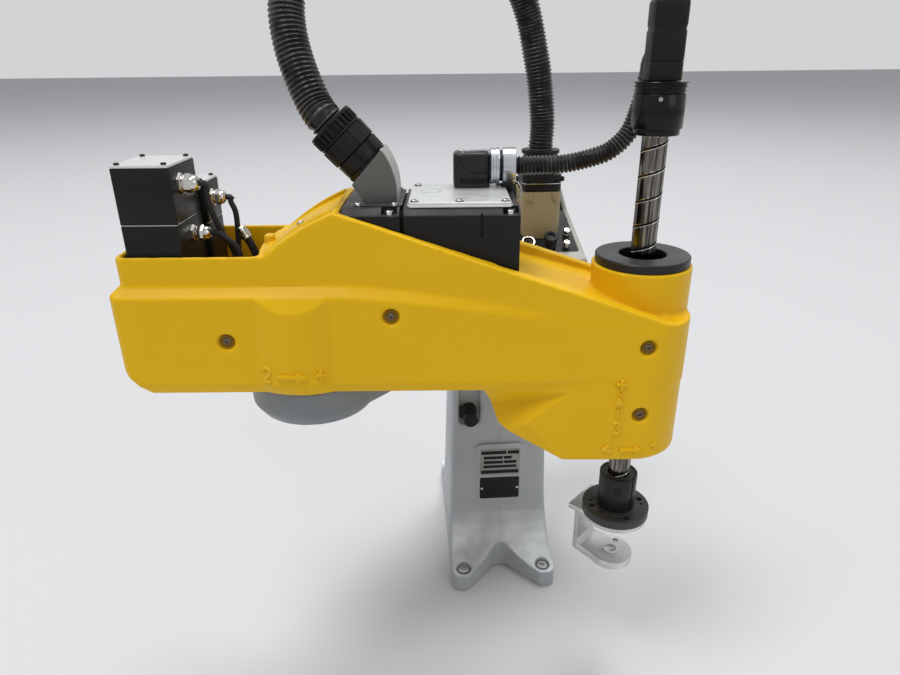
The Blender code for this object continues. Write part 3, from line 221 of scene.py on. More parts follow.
def eased(outline, radius, steps=3):
    """Each corner of a closed outline becomes a quadratic curve that starts and ends a radius away
    along its two sides."""
    outline = np.asarray(outline, float)
    back = np.roll(outline, 1, 0) - outline
    ahead = np.roll(outline, -1, 0) - outline
    radius = np.broadcast_to(np.asarray(radius, float), len(outline))[:, None]
    start = outline + back / np.linalg.norm(back, axis=1, keepdims=True) * radius
    end = outline + ahead / np.linalg.norm(ahead, axis=1, keepdims=True) * radius
    t = np.linspace(0, 1, steps + 1)[None, :, None]
    curve = start[:, None] * (1 - t) ** 2 + 2 * outline[:, None] * t * (1 - t) + end[:, None] * t**2
    return curve.reshape(-1, outline.shape[1])


def drawn_in(outline, amount):
    """An anticlockwise outline moved inwards: each point goes along the mean of its sides' normals, by
    the amount over the cosine between."""
    ahead = np.roll(outline, -1, 0) - outline
    ahead /= np.maximum(np.linalg.norm(ahead, axis=1, keepdims=True), 1e-9)
    inward = np.stack([-ahead[:, 1], ahead[:, 0]], -1)
    mean = inward + np.roll(inward, 1, 0)
    mean /= np.maximum((mean * mean).sum(1, keepdims=True) / 2, 0.5)
    return outline + mean * amount


# How a prism's outline lies in its frame
LIE = {
    "up": np.eye(3),
    "across": np.array([[1, 0, 0], [0, 0, -1], [0, 1, 0]]),
    "along": np.array([[0, 0, 1], [1, 0, 0], [0, 1, 0]]),
}


def prism(outline, low, high, edge=0.0006, lie="up", place=BASE, rings=2):
    """An outline carried from low to high, drawn in by edge(1 - sin t) where it has risen by
    edge(1 - cos t), t a quarter turn.

    Up carries an x, y outline along z, across an x, z outline along y, along a y, z outline along x."""
    outline = np.asarray(outline, float)
    if lie == "across":
        low, high = -high, -low
    t = np.linspace(0, math.pi / 2, rings + 1)
    inset, rise = edge * (1 - np.sin(t)), edge * (1 - np.cos(t))
    levels = list(zip(inset, low + rise)) + list(zip(inset[::-1], high - rise[::-1]))
    rows = [np.column_stack([drawn_in(outline, a), np.full(len(outline), z)]) for a, z in levels]
    points, faces = sleeve(rows)
    return moved(points @ LIE[lie].T, place), faces


def block(span_x, span_y, span_z, corner=0.002, edge=0.0006, place=BASE):
    """A block with round upright corners and soft edges."""
    return prism(plan(span_x, span_y, corner), *span_z, edge, "up", place)


def run_along(path):
    """Distance from a path's start at each of its points."""
    return np.concatenate([[0], np.cumsum(np.linalg.norm(np.diff(path, axis=0), axis=1))])


def even(points, step):
    """A polyline sampled at an even step along its length."""
    points = np.asarray(points, float)
    run = run_along(points)
    at = np.linspace(0, run[-1], max(2, round(run[-1] / step)) + 1)
    return np.stack([np.interp(at, run, points[:, k]) for k in range(3)], -1)


def smooth_through(points, fine=24):
    """Catmull-Rom curve through all but the first and last points, which only guide it."""
    p = np.asarray(points, float)
    a, b, c, d = p[:-3, None], p[1:-2, None], p[2:-1, None], p[3:, None]
    t = np.linspace(0, 1, fine, endpoint=False)[None, :, None]
    curve = 0.5 * (
        2 * b + (c - a) * t + (2 * a - 5 * b + 4 * c - d) * t**2 + (3 * b - a - 3 * c + d) * t**3
    )
    return np.vstack([curve.reshape(-1, 3), p[-2]])


def led(points, out, into, lead=0.008):
    """Smooth route that leaves its first point along one direction and meets its last along another."""
    points = [np.asarray(point, float) for point in points]
    out, into = (np.asarray(v, float) / np.linalg.norm(v) for v in (out, into))
    guided = [points[0], points[0] + out * lead, *points[1:-1], points[-1] - into * lead, points[-1]]
    return np.vstack([points[0], smooth_through(guided), points[-1]])


def pipe(path, radius, sides=16, up=(0, 0, 1)):
    """Round skin along a path: each ring is square to the path, its first axis square to a fixed
    direction too."""
    path = np.asarray(path, float)
    ahead = np.gradient(path, axis=0)
    ahead /= np.linalg.norm(ahead, axis=1, keepdims=True)
    side = np.cross(np.asarray(up, float), ahead)
    side /= np.linalg.norm(side, axis=1, keepdims=True)
    other = np.cross(ahead, side)
    angle = np.linspace(0, TURN, sides, endpoint=False)
    reach = np.broadcast_to(np.asarray(radius, float), len(path))[:, None, None]
    ring = np.cos(angle)[:, None] * side[:, None] + np.sin(angle)[:, None] * other[:, None]
    return sleeve(path[:, None] + reach * ring)


def strand(route, step, radius, sides):
    """Round wire along a route in the forearm's frame, sampled at an even step."""
    return pipe(moved(even(route, step), FOREARM), radius, sides, ACROSS)


def ribbed(path, radius, pitch, depth, narrow=2.0):
    """Radius along a corrugated pipe: it drops by depth between crests, each crest a raised cosine to a
    power, one every pitch."""
    crest = (0.5 + 0.5 * np.cos(TURN * run_along(path) / pitch)) ** narrow
    return radius - depth * (1 - crest)


def socket_screw(point, direction, radius, height, place=BASE, bite=0.55, edge=0.12):
    """Cap screw head: a turned rim, a soft edge, and a six-sided socket sunk in its top."""
    soft = radius * edge
    profile = [(radius, 0), (radius, height - soft), (radius - soft, height)]
    profile += [(radius * bite, height, 6), (radius * bite, height * 0.35, 6)]
    return turned(profile, 24, aimed(point, direction, place))


def washer(point, direction, inner, outer, thickness, place=BASE):
    """Flat ring: its section is a rectangle turned about the axis."""
    profile = [(outer, 0), (outer, thickness), (inner, thickness), (inner, 0)]
    return turned(profile, 28, aimed(point, direction, place), ring=True)


def screws_at(spots, level, radius, height, place=FOREARM):
    """Upright cap screws at x, y spots on one level."""
    return joined([socket_screw((*spot, level), (0, 0, 1), radius, height, place) for spot in spots])


def washers_at(spots, level, inner, outer, thickness, place=FOREARM):
    """Flat washers at x, y spots on one level."""
    return joined([washer((*spot, level), (0, 0, 1), inner, outer, thickness, place) for spot in spots])


# Pieces


def linked(name, data):
    """A new object in the scene."""
    thing = bpy.data.objects.new(name, data)
    bpy.context.scene.collection.objects.link(thing)
    return thing


def mesh_of(name, skin):
    """A mesh made from a skin's points and faces."""
    mesh = bpy.data.meshes.new(name)
    mesh.from_pydata(skin[0].tolist(), [], skin[1])
    mesh.validate()
    return mesh


def finished(thing, look, sharp=32):
    """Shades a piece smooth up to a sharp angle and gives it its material."""
    thing.data.shade_smooth()
    thing.data.set_sharp_from_angle(angle=math.radians(sharp))
    thing.data.materials.clear()
    thing.data.materials.append(material(look))


def piece(name, skin, look, body, sharp=32):
    """A new piece that rides on a body."""
    thing = linked(name, mesh_of(name, skin))
    finished(thing, look, sharp)
    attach(thing, body)
    return thing


def stand_in(name, skin, look, body, node, sharp=32):
    """A new piece that rides on a body and replaces a CAD node there."""
    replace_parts(piece(name, skin, look, body, sharp), node)


def applied(thing):
    """Replaces a mesh by what its modifiers make of it."""
    graph = bpy.context.evaluated_depsgraph_get()
    made = bpy.data.meshes.new_from_object(thing.evaluated_get(graph))
    thing.modifiers.clear()
    thing.data = made


def copied(node, name):
    """A merged copy of a CAD node."""
    thing = linked(name, frame["nodes"][node].data.copy())
    work = bmesh.new()
    work.from_mesh(thing.data)
    bmesh.ops.remove_doubles(work, verts=work.verts, dist=2e-5)
    bmesh.ops.recalc_face_normals(work, faces=work.faces)
    work.to_mesh(thing.data)
    work.free()
    return thing


def stands_for(thing, node):
    """A piece takes a CAD node's place and rides on its body."""
    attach(thing, frame["nodes"][node]["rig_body"])
    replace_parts(thing, node)


def reshaped(thing, form, place):
    """Moves a piece's vertices by a form, a function on points in a body's frame."""
    local = moved(vertices_of(thing.data), np.linalg.inv(place))
    thing.data.vertices.foreach_set("co", moved(form(local), place).ravel())
    thing.data.update()


def moulded(node, name, look, voxel, rounds, keep, form=None, place=BASE):
    """A casting or moulding: the CAD node on an even grid, given its form, then smoothed, so that every
    edge is round."""
    thing = copied(node, name)
    remesh = thing.modifiers.new("even_grid", "REMESH")
    remesh.mode = "VOXEL"
    remesh.voxel_size = voxel
    applied(thing)
    if form:
        reshaped(thing, form, place)
    soften = thing.modifiers.new("round_edges", "SMOOTH")
    soften.factor = 0.5
    soften.iterations = rounds
    thin = thing.modifiers.new("fewer_faces", "DECIMATE")
    thin.ratio = keep
    applied(thing)
    finished(thing, look, 80)
    stands_for(thing, node)


def crisp(node, name, look, edge=0.0006, segments=2, angle=28):
    """A machined piece: the CAD node with its flat faces made whole and a small round along its edges."""
    thing = copied(node, name)
    work = bmesh.new()
    work.from_mesh(thing.data)
    bmesh.ops.dissolve_limit(work, angle_limit=math.radians(2), verts=work.verts, edges=work.edges)
    work.to_mesh(thing.data)
    work.free()
    bevel = thing.modifiers.new("soft_edges", "BEVEL")
    bevel.width = edge
    bevel.segments = segments
    bevel.limit_method = "ANGLE"
    bevel.angle_limit = math.radians(angle)
    applied(thing)
    finished(thing, look)
    stands_for(thing, node)


def carved(thing, skin):
    """Cuts a skin out of a piece."""
    cutter = linked("cutter", mesh_of("cutter", skin))
    step = thing.modifiers.new("carve", "BOOLEAN")
    step.operation = "DIFFERENCE"
    step.solver = "EXACT"
    step.object = cutter
    applied(thing)
    bpy.data.objects.remove(cutter, do_unlink=True)


# Search trees of the CAD nodes that rays have been sent to
SHAPES = {}


def touched(node, origin, direction, place=BASE):
    """Where a ray from a point meets a CAD node, and the face's direction there, in world metres."""
    if node not in SHAPES:
        work = bmesh.new()
        work.from_mesh(frame["nodes"][node].data)
        SHAPES[node] = BVHTree.FromBMesh(work)
        work.free()
    start = Vector(moved([origin], place)[0])
    point, normal, _, _ = SHAPES[node].ray_cast(start, Vector(place[:3, :3] @ np.asarray(direction, float)))
    if point is None:
        raise RuntimeError(f"nothing of {node} lies ahead of {origin}")
    return np.array(point), np.array(normal)


# Materials


def feed(tree, sockets, values):
    """Links each value that is a node's output to its socket, and sets every other one there."""
    for key, value in values.items():
        if isinstance(value, bpy.types.NodeSocket):
            tree.links.new(value, sockets[key])
        else:
            sockets[key].default_value = value


def add(tree, kind, inputs=(), **settings):
    """A node with its settings; each input is a plain value or the output that feeds it."""
    node = tree.nodes.new(kind)
    for key, value in settings.items():
        setattr(node, key, value)
    feed(tree, node.inputs, dict(inputs))
    return node


SOCKETS = {"value": "NodeSocketFloat", "colour": "NodeSocketColor", "vector": "NodeSocketVector"}


def effect(name, inputs, outputs):
    """An empty node group with named inputs and outputs: its tree, its input sockets and its output
    node."""
    tree = bpy.data.node_groups.new(name, "ShaderNodeTree")
    for label, kind, value in inputs:
        socket = tree.interface.new_socket(label, in_out="INPUT", socket_type=SOCKETS[kind])
        socket.default_value = value
    for label, kind in outputs:
        tree.interface.new_socket(label, in_out="OUTPUT", socket_type=SOCKETS[kind])
    return tree, tree.nodes.new("NodeGroupInput").outputs, tree.nodes.new("NodeGroupOutput")


def noise(tree, size, detail=3.0, vector=None):
    """Noise on Object coordinates, with size given as cells a metre."""
    if vector is None:
        vector = add(tree, "ShaderNodeTexCoord").outputs["Object"]
    inputs = {"Vector": vector, "Scale": size, "Detail": detail}
    return add(tree, "ShaderNodeTexNoise", inputs).outputs["Fac"]


def stretched(tree, value, low, high, out_low=0.0, out_high=1.0):
    """A value's low to high range spread to another range, and held there beyond."""
    inputs = {"Value": value, "From Min": low, "From Max": high, "To Min": out_low, "To Max": out_high}
    return add(tree, "ShaderNodeMapRange", inputs, clamp=True).outputs["Result"]


def computed(tree, operation, a, b):
    """One value worked out from two."""
    return add(tree, "ShaderNodeMath", {0: a, 1: b}, operation=operation).outputs[0]


def product(tree, a, b):
    """One value times another."""
    return computed(tree, "MULTIPLY", a, b)


def mixed(tree, share, a, b):
    """Colour a mixed towards colour b by a share."""
    node = tree.nodes.new("ShaderNodeMix")
    node.data_type = "RGBA"
    feed(tree, node.inputs, {0: share, 6: a, 7: b})
    return node.outputs[2]


def uneven_tone():
    """Colour: the plain one mixed towards a shade by soft noise times an amount."""
    given = [("Colour", "colour", (0.5, 0.5, 0.5, 1)), ("Shade", "colour", (0.4, 0.4, 0.4, 1))]
    given += [("Size", "value", 8.0), ("Amount", "value", 0.5)]
    tree, inputs, out = effect("uneven_tone", given, [("Colour", "colour")])
    share = product(tree, stretched(tree, noise(tree, inputs["Size"]), 0.35, 0.68), inputs["Amount"])
    tree.links.new(mixed(tree, share, inputs["Colour"], inputs["Shade"]), out.inputs["Colour"])
    return tree


def rubbed_edges():
    """Colour: mixed towards a lighter one where the surface is sharply convex and fine noise lets it
    through: a painted highlight along edges, with some edge wear."""
    # Bare is the lighter colour of the painted edge highlight, with some wear
    given = [("Colour", "colour", (0.5, 0.5, 0.5, 1)), ("Bare", "colour", (0.7, 0.7, 0.7, 1))]
    given += [("Reach", "value", 0.03), ("Amount", "value", 0.6), ("Size", "value", 60.0)]
    tree, inputs, out = effect("rubbed_edges", given, [("Colour", "colour")])
    sharp = add(tree, "ShaderNodeNewGeometry").outputs["Pointiness"]
    start = computed(tree, "ADD", 0.5, inputs["Reach"])
    stop = computed(tree, "ADD", start, inputs["Reach"])
    edge = stretched(tree, sharp, start, stop)
    patchy = stretched(tree, noise(tree, inputs["Size"], 5.0), 0.42, 0.6)
    mask = product(tree, product(tree, edge, patchy), inputs["Amount"])
    tree.links.new(mixed(tree, mask, inputs["Colour"], inputs["Bare"]), out.inputs["Colour"])
    return tree


def settled_dust():
    """Colour: mixed towards a second colour where the surface looks up, by cloudy noise: dust where that
    colour is dark, painted top light where it is pale.
    """
    given = [("Colour", "colour", (0.5, 0.5, 0.5, 1)), ("Dust", "colour", (0.35, 0.33, 0.3, 1))]
    given += [("Amount", "value", 0.15), ("Size", "value", 14.0)]
    tree, inputs, out = effect("settled_dust", given, [("Colour", "colour")])
    normal = add(tree, "ShaderNodeNewGeometry").outputs["Normal"]
    up = add(tree, "ShaderNodeSeparateXYZ", {0: normal}).outputs["Z"]
    share = product(
        tree, stretched(tree, up, 0.25, 0.75), stretched(tree, noise(tree, inputs["Size"], 4.0), 0.3, 0.62),
    )
    tree.links.new(
        mixed(tree, product(tree, share, inputs["Amount"]), inputs["Colour"], inputs["Dust"]),
        out.inputs["Colour"],
    )
    return tree


def fine_grain():
    """Height: fine noise plus a coarser one, for the skin of cast or sprayed surfaces."""
    given = [("Size", "value", 900.0), ("Coarse Share", "value", 0.4)]
    tree, inputs, out = effect("fine_grain", given, [("Height", "value")])
    coarse_size = product(tree, inputs["Size"], 0.14)
    coarse = product(tree, noise(tree, coarse_size, 2.0), inputs["Coarse Share"])
    height = computed(tree, "ADD", noise(tree, inputs["Size"], 2.0), coarse)
    tree.links.new(height, out.inputs["Height"])
    return tree


def handled_gloss():
    """Roughness: between two values by smeary noise, as handling and wiping leave it."""
    given = [("Low", "value", 0.3), ("High", "value", 0.5), ("Size", "value", 12.0)]
    tree, inputs, out = effect("handled_gloss", given, [("Roughness", "value")])
    smear = stretched(tree, noise(tree, inputs["Size"], 5.0), 0.3, 0.7, inputs["Low"], inputs["High"])
    tree.links.new(smear, out.inputs["Roughness"])
    return tree


def brushed_lines():
    """Height of brushing: noise on coordinates stretched by a vector."""
    given = [("Stretch", "vector", (1.0, 60.0, 1.0)), ("Size", "value", 30.0)]
    tree, inputs, out = effect("brushed_lines", given, [("Height", "value")])
    place = add(tree, "ShaderNodeTexCoord").outputs["Object"]
    spread = add(
        tree, "ShaderNodeVectorMath", {0: place, 1: inputs["Stretch"]}, operation="MULTIPLY",
    ).outputs[0]
    tree.links.new(noise(tree, inputs["Size"], 4.0, spread), out.inputs["Height"])
    return tree


# Each effect's node group, made when it is first used
EFFECTS = {}


def use(tree, maker, inputs):
    """A shared effect placed in a material with its own values."""
    if maker not in EFFECTS:
        EFFECTS[maker] = maker()
    node = tree.nodes.new("ShaderNodeGroup")
    node.node_tree = EFFECTS[maker]
    feed(tree, node.inputs, inputs)
    return node.outputs


# Each finish names its colour property and gives the share of it that the shade keeps, the tone's size
# and amount, the roughness's low and high, and the grain's size and depth in metres or the brushing's
# stretch, size and depth. Where it has them: metal, shine, the darkness and stretch of painted reflection
# bands, the lighter colour of painted edge highlights with some edge wear, with its reach and amount, and
# the amount of dust and painted top light with its own colour.
FINISHES = {
    # Its lighter yellow edges are a painted highlight
    "yellow_enamel": dict(
        colour="yellow", shade=0.93, tone=(5.0, 0.35), gloss=(0.34, 0.46), shine=0.14,
        grain=(420.0, 0.00006), bare=((0.90, 0.60, 0.08), 0.03, 0.2),
    ),
    # The grey enamel painted lighter, as lit; its pale dust colour on upward faces is painted top light
    "grey_enamel": dict(
        colour="grey", shade=0.80, tone=(9.0, 0.6), gloss=(0.36, 0.52), shine=0.25, grain=(520.0, 0.00012),
        bare=((0.50, 0.51, 0.52), 0.04, 0.4), dust=0.9, dirt=(0.84, 0.88, 0.91),
    ),
    # The same grey enamel painted in shade
    "arm_enamel": dict(
        colour="arm_grey_in_shade", shade=0.82, tone=(9.0, 0.5), gloss=(0.36, 0.52), shine=0.25,
        grain=(520.0, 0.00012), bare=((0.40, 0.41, 0.42), 0.04, 0.35), dust=0.04,
    ),
    "console_enamel": dict(
        colour="console", shade=0.85, tone=(12.0, 0.5), gloss=(0.36, 0.5), shine=0.25,
        grain=(700.0, 0.00006), dust=0.03,
    ),
    "name_plate": dict(
        colour="label", shade=0.8, tone=(60.0, 0.5), gloss=(0.3, 0.4), metal=0.6, grain=(1500.0, 0.00001),
    ),
    "cap_grey": dict(
        colour="cap", shade=0.85, tone=(16.0, 0.4), gloss=(0.34, 0.46), shine=0.25, grain=(900.0, 0.00003),
    ),
    "bracket_grey": dict(
        colour="bracket", shade=0.9, tone=(16.0, 0.4), gloss=(0.34, 0.46), shine=0.2,
        grain=(700.0, 0.00004), dust=0.02,
    ),
    "black_anodised": dict(
        colour="anodised", shade=0.75, tone=(30.0, 0.25), gloss=(0.30, 0.42), shine=0.25,
        grain=(1400.0, 0.00002), dust=0.02,
    ),
    "polished_black": dict(
        colour="polished", shade=0.8, tone=(40.0, 0.2), gloss=(0.16, 0.24), shine=0.22,
        grain=(1800.0, 0.00001),
    ),
    "black_plastic": dict(
        colour="plastic", shade=0.75, tone=(30.0, 0.25), gloss=(0.34, 0.48), shine=0.2,
        grain=(1100.0, 0.00004), dust=0.02,
    ),
    # Its dust is partly real dust and partly the painted sheen on the deck's tops
    "deck_plastic": dict(
        colour="plastic", shade=0.75, tone=(30.0, 0.25), gloss=(0.38, 0.50), shine=0.22,
        grain=(1100.0, 0.00004), dust=0.17,
    ),
    # Its lighter edge colour paints the highlights on the ribs' crests
    "conduit_plastic": dict(
        colour="plastic", shade=0.75, tone=(30.0, 0.3), gloss=(0.24, 0.38), shine=0.35,
        grain=(900.0, 0.00003), bare=((0.10, 0.10, 0.105), 0.012, 0.8), dust=0.02,
    ),
    "cable_rubber": dict(
        colour="cable", shade=0.75, tone=(40.0, 0.3), gloss=(0.42, 0.58), shine=0.2, grain=(1600.0, 0.00002),
    ),
    "motor_black": dict(
        colour="motor", shade=0.8, tone=(20.0, 0.2), gloss=(0.30, 0.42), shine=0.22, grain=(900.0, 0.00004),
    ),
    "tan_plastic": dict(
        colour="tan", shade=0.84, tone=(18.0, 0.5), gloss=(0.38, 0.5), shine=0.2, grain=(900.0, 0.00004),
        dust=0.02,
    ),
    "pale_plate": dict(
        colour="plate", shade=0.9, tone=(30.0, 0.5), gloss=(0.30, 0.42), metal=0.5,
        brush=((1.0, 40.0, 1.0), 40.0, 0.00002), bare=((0.85, 0.86, 0.86), 0.03, 0.4),
    ),
    "brushed_aluminium": dict(
        colour="aluminium", shade=0.86, tone=(22.0, 0.5), gloss=(0.24, 0.40), metal=0.85,
        brush=((1.0, 50.0, 30.0), 30.0, 0.00002), bare=((0.95, 0.95, 0.95), 0.03, 0.5),
    ),
    "nickel": dict(
        colour="nickel", shade=0.8, tone=(60.0, 0.4), gloss=(0.12, 0.24), metal=1.0, grain=(1500.0, 0.00001),
    ),
    "band_steel": dict(
        colour="band", shade=0.85, tone=(40.0, 0.4), gloss=(0.16, 0.28), metal=0.9, grain=(1500.0, 0.00001),
    ),
    # Its dark bands are painted reflections and its light edges painted highlights
    "steel": dict(
        colour="steel", shade=0.7, tone=(50.0, 0.6), gloss=(0.10, 0.24), metal=1.0,
        reflection_bands=(0.16, (9.0, 9.0, 0.25)), brush=((60.0, 60.0, 2.0), 30.0, 0.000006),
        bare=((0.95, 0.94, 0.90), 0.02, 0.8),
    ),
    "zinc_screw": dict(
        colour="screw", shade=0.75, tone=(90.0, 0.5), gloss=(0.18, 0.32), metal=1.0, grain=(2200.0, 0.00001),
    ),
    "black_screw": dict(
        colour="polished", shade=0.8, tone=(90.0, 0.3), gloss=(0.24, 0.38), shine=0.3,
        grain=(2200.0, 0.00001),
    ),
    "dull_screw": dict(
        colour="dull", shade=0.7, tone=(90.0, 0.5), gloss=(0.3, 0.45), metal=0.7, grain=(2200.0, 0.00001),
    ),
    "brass": dict(
        colour="brass", shade=0.75, tone=(60.0, 0.6), gloss=(0.18, 0.32), metal=1.0, grain=(1500.0, 0.00001),
    ),
    "white_insert": dict(
        colour="insert", shade=0.86, tone=(40.0, 0.4), gloss=(0.3, 0.4), shine=0.3, grain=(1500.0, 0.00002),
    ),
    "brown_recess": dict(
        colour="well", shade=0.6, tone=(30.0, 0.4), gloss=(0.5, 0.7), shine=0.1, grain=(900.0, 0.00005),
    ),
    "dark_recess": dict(
        colour="recess", shade=0.6, tone=(30.0, 0.4), gloss=(0.5, 0.7), shine=0.1, grain=(900.0, 0.00005),
    ),
}


def material(look):
    """One finish, built once: toned colour, painted reflection bands, dust with painted top light, edges
    with painted highlights and some wear, handled gloss, and grain or brushing as bump."""
    if look in bpy.data.materials:
        return bpy.data.materials[look]
    finish = FINISHES[look]
    colour = tuple(getattr(bpy.context.scene.arm_colours, finish["colour"]))[:3]
    made = bpy.data.materials.new(look)
    made.use_nodes = True
    tree = made.node_tree
    shader = tree.nodes["Principled BSDF"]
    shade = (*(c * finish["shade"] for c in colour), 1)
    size, amount = finish["tone"]
    tint = use(
        tree, uneven_tone, {"Colour": (*colour, 1), "Shade": shade, "Size": size, "Amount": amount},
    )["Colour"]
    # Painted reflection: dark bands that stand in for the steel's reflections
    if "reflection_bands" in finish:
        deep, stretch = finish["reflection_bands"]
        reflection_bands = use(tree, brushed_lines, {"Stretch": stretch, "Size": 30.0})["Height"]
        dark = (*(c * deep for c in colour), 1)
        tint = mixed(tree, stretched(tree, reflection_bands, 0.44, 0.60), tint, dark)
    # Dust on upward faces, and painted top light where its colour is pale
    if "dust" in finish:
        dirt = (*finish.get("dirt", (0.35, 0.33, 0.30)), 1)
        tint = use(tree, settled_dust, {"Colour": tint, "Dust": dirt, "Amount": finish["dust"]})["Colour"]
    # Painted highlight along convex edges, with some edge wear
    if "bare" in finish:
        bare, reach, edge_share = finish["bare"]
        tint = use(
            tree, rubbed_edges, {"Colour": tint, "Bare": (*bare, 1), "Reach": reach, "Amount": edge_share},
        )["Colour"]
    low, high = finish["gloss"]
    rough = use(tree, handled_gloss, {"Low": low, "High": high, "Size": size * 1.5})["Roughness"]
    if "brush" in finish:
        stretch, fine, depth = finish["brush"]
        height = use(tree, brushed_lines, {"Stretch": stretch, "Size": fine})["Height"]
    else:
        fine, depth = finish["grain"]
        height = use(tree, fine_grain, {"Size": fine})["Height"]
    bump = add(tree, "ShaderNodeBump", {"Height": height, "Strength": 1.0, "Distance": depth})
    tree.links.new(tint, shader.inputs["Base Color"])
    tree.links.new(rough, shader.inputs["Roughness"])
    tree.links.new(bump.outputs["Normal"], shader.inputs["Normal"])
    shader.inputs["Metallic"].default_value = finish.get("metal", 0.0)
    shader.inputs["Specular IOR Level"].default_value = finish.get("shine", 0.3)
    made.diffuse_color = (*colour, 1)
    return made


# Sizes and colours


def colour_of(label, words, value):
    """A colour property."""
    return bpy.props.FloatVectorProperty(
        name=label, description=words, default=value, min=0, max=1, subtype="COLOR",
    )


def length_of(label, words, value):
    """A length property in metres."""
    return bpy.props.FloatProperty(name=label, description=words, default=value, min=0, unit="LENGTH")


class ArmColours(bpy.types.PropertyGroup):
    yellow: colour_of("Yellow", "Enamel of the moulded forearm", (0.80, 0.475, 0.008))
    # The grey enamel painted lighter, as lit
    grey: colour_of("Base grey", "Enamel of the base", (0.42, 0.44, 0.452))
    # The same grey enamel painted in shade
    arm_grey_in_shade: colour_of("Arm grey", "Enamel of the inner arm", (0.235, 0.25, 0.26))
    console: colour_of("Console grey", "Enamel of the console", (0.43, 0.43, 0.40))
    # Also the painted sheen on the tops of the black ring and hub
    cap: colour_of("Cap grey", "Quill's ring", (0.052, 0.053, 0.055))
    bracket: colour_of("Bracket grey", "Painted sheet of the conduit's bracket", (0.135, 0.132, 0.122))
    anodised: colour_of("Anodised black", "Machined black pieces", (0.016, 0.017, 0.019))
    polished: colour_of("Polished black", "Collar and dark screws", (0.006, 0.006, 0.007))
    plastic: colour_of("Black plastic", "Conduits and covers", (0.009, 0.009, 0.010))
    cable: colour_of("Cable grey", "Cable jackets", (0.026, 0.026, 0.030))
    motor: colour_of("Motor black", "Motor housings", (0.009, 0.009, 0.009))
    tan: colour_of("Tan", "Moulded connector box", (0.36, 0.29, 0.165))
    well: colour_of("Screw well", "Shaded inside of the screw wells", (0.30, 0.17, 0.02))
    dull: colour_of("Dull screw", "Screws in the shell's wells", (0.20, 0.155, 0.12))
    label: colour_of("Blank label", "Bare metal of the rating plate", (0.30, 0.29, 0.27))
    plate: colour_of("Pale plate", "Lids and plates", (0.72, 0.73, 0.73))
    aluminium: colour_of("Aluminium", "Brushed tool bracket", (0.62, 0.62, 0.61))
    nickel: colour_of("Nickel", "Glands and air fittings", (0.66, 0.64, 0.60))
    band: colour_of("Band steel", "Hose bands", (0.56, 0.58, 0.60))
    steel: colour_of("Steel", "Quill shaft", (0.26, 0.24, 0.21))
    screw: colour_of("Screws", "Bright cap screws", (0.66, 0.66, 0.65))
    brass: colour_of("Brass", "Stud on the quill's head", (0.60, 0.40, 0.16))
    insert: colour_of("Insert", "Pale centres of the air fittings", (0.75, 0.75, 0.72))
    # Painted shade in the deck's gap, the shaft's groove and the ring's bore
    recess: colour_of("Recess", "Dark slots and gaps", (0.006, 0.006, 0.006))


class ArmSizes(bpy.types.PropertyGroup):
    conduit_pitch: length_of("Conduit pitch", "Distance between two ribs of the large conduit", 0.0052)
    conduit_depth: length_of("Conduit rib depth", "How far the large conduit's ribs stand out", 0.0024)
    hose_pitch: length_of("Hose pitch", "Distance between two ribs of the small hose", 0.0046)
    hose_depth: length_of("Hose rib depth", "How far the small hose's ribs stand out", 0.0018)
    spline_depth: length_of("Spline depth", "Depth of the quill's upright grooves", 0.0007)
    screw_lead: length_of("Groove lead", "Rise of the quill's helical groove in one turn", 0.0285)
    screw_depth: length_of("Groove depth", "Depth of the quill's helical groove", 0.0017)
    mark_height: length_of("Mark relief", "Half width of the raised marks' strokes", 0.0020)


# Castings and mouldings


# The forearm's near wall, and the circles of its elbow bulge and its nose
WALL_DEPTH = 0.087
BULGE_RADIUS = 0.096
NOSE_X, NOSE_HALF, NOSE_RADIUS = 0.394, 0.029, 0.058


def wall_depth(x):
    """How near the forearm's near wall stands at x: a plane, the elbow's bulge, and the nose past a
    corner circle's start."""
    x = np.asarray(x, float)
    bulge = np.sqrt(np.maximum(BULGE_RADIUS**2 - x * x, 0))
    nose = NOSE_HALF + np.sqrt(np.maximum(NOSE_RADIUS**2 - (x - NOSE_X) ** 2, 0))
    return np.where(x > NOSE_X, nose, np.maximum(WALL_DEPTH, bulge))


def mark_stroke(points, height):
    """One raised stroke of a mark: a round line that follows the near wall, half sunk in it."""
    line = even([(x, 0, z) for x, z in points], 0.0015)
    line[:, 1] = -wall_depth(line[:, 0])
    return pipe(moved(line, FOREARM), height, 8, ACROSS)


def raised_mark(outline, x, z, height):
    """A flat raised shape square to the near wall at x, z, from an outline about its centre."""
    fall = wall_depth(x - 0.001) - wall_depth(x + 0.001)
    place = aimed((x, -wall_depth(x), z), (fall, -0.002, 0), FOREARM)
    return prism(np.asarray(outline, float), -0.0015, height, 0.0005, "up", place)


def curl(centre, radius, start, end, steps=14):
    """Points on an arc from a start to an end angle in degrees."""
    angle = np.radians(np.linspace(start, end, steps))
    return [(centre[0] + radius * math.cos(a), centre[1] + radius * math.sin(a)) for a in angle]


def plus_outline(half, thick):
    """Outline of a plus sign."""
    a, b = thick, half
    return [
        (a, -b), (a, -a), (b, -a), (b, a), (a, a), (a, b), (-a, b), (-a, a), (-b, a), (-b, -a), (-a, -a),
        (-a, -b),
    ]


def arrow_outline(half, thick, head, wide):
    """Outline of a block arrow that points along +x."""
    neck = half - head
    return [
        (-half, -thick), (neck, -thick), (neck, -wide), (half, 0), (neck, wide), (neck, thick),
        (-half, thick),
    ]


def numeral_two(x, z, half=0.0085):
    """The strokes of a 2: an arc over the top, a slanting line down and a line along the foot."""
    top = curl((x, z + half - 0.0045), 0.0045, 170, -40)
    return [top + [(x - 0.0046, z - half), (x + 0.0050, z - half)]]


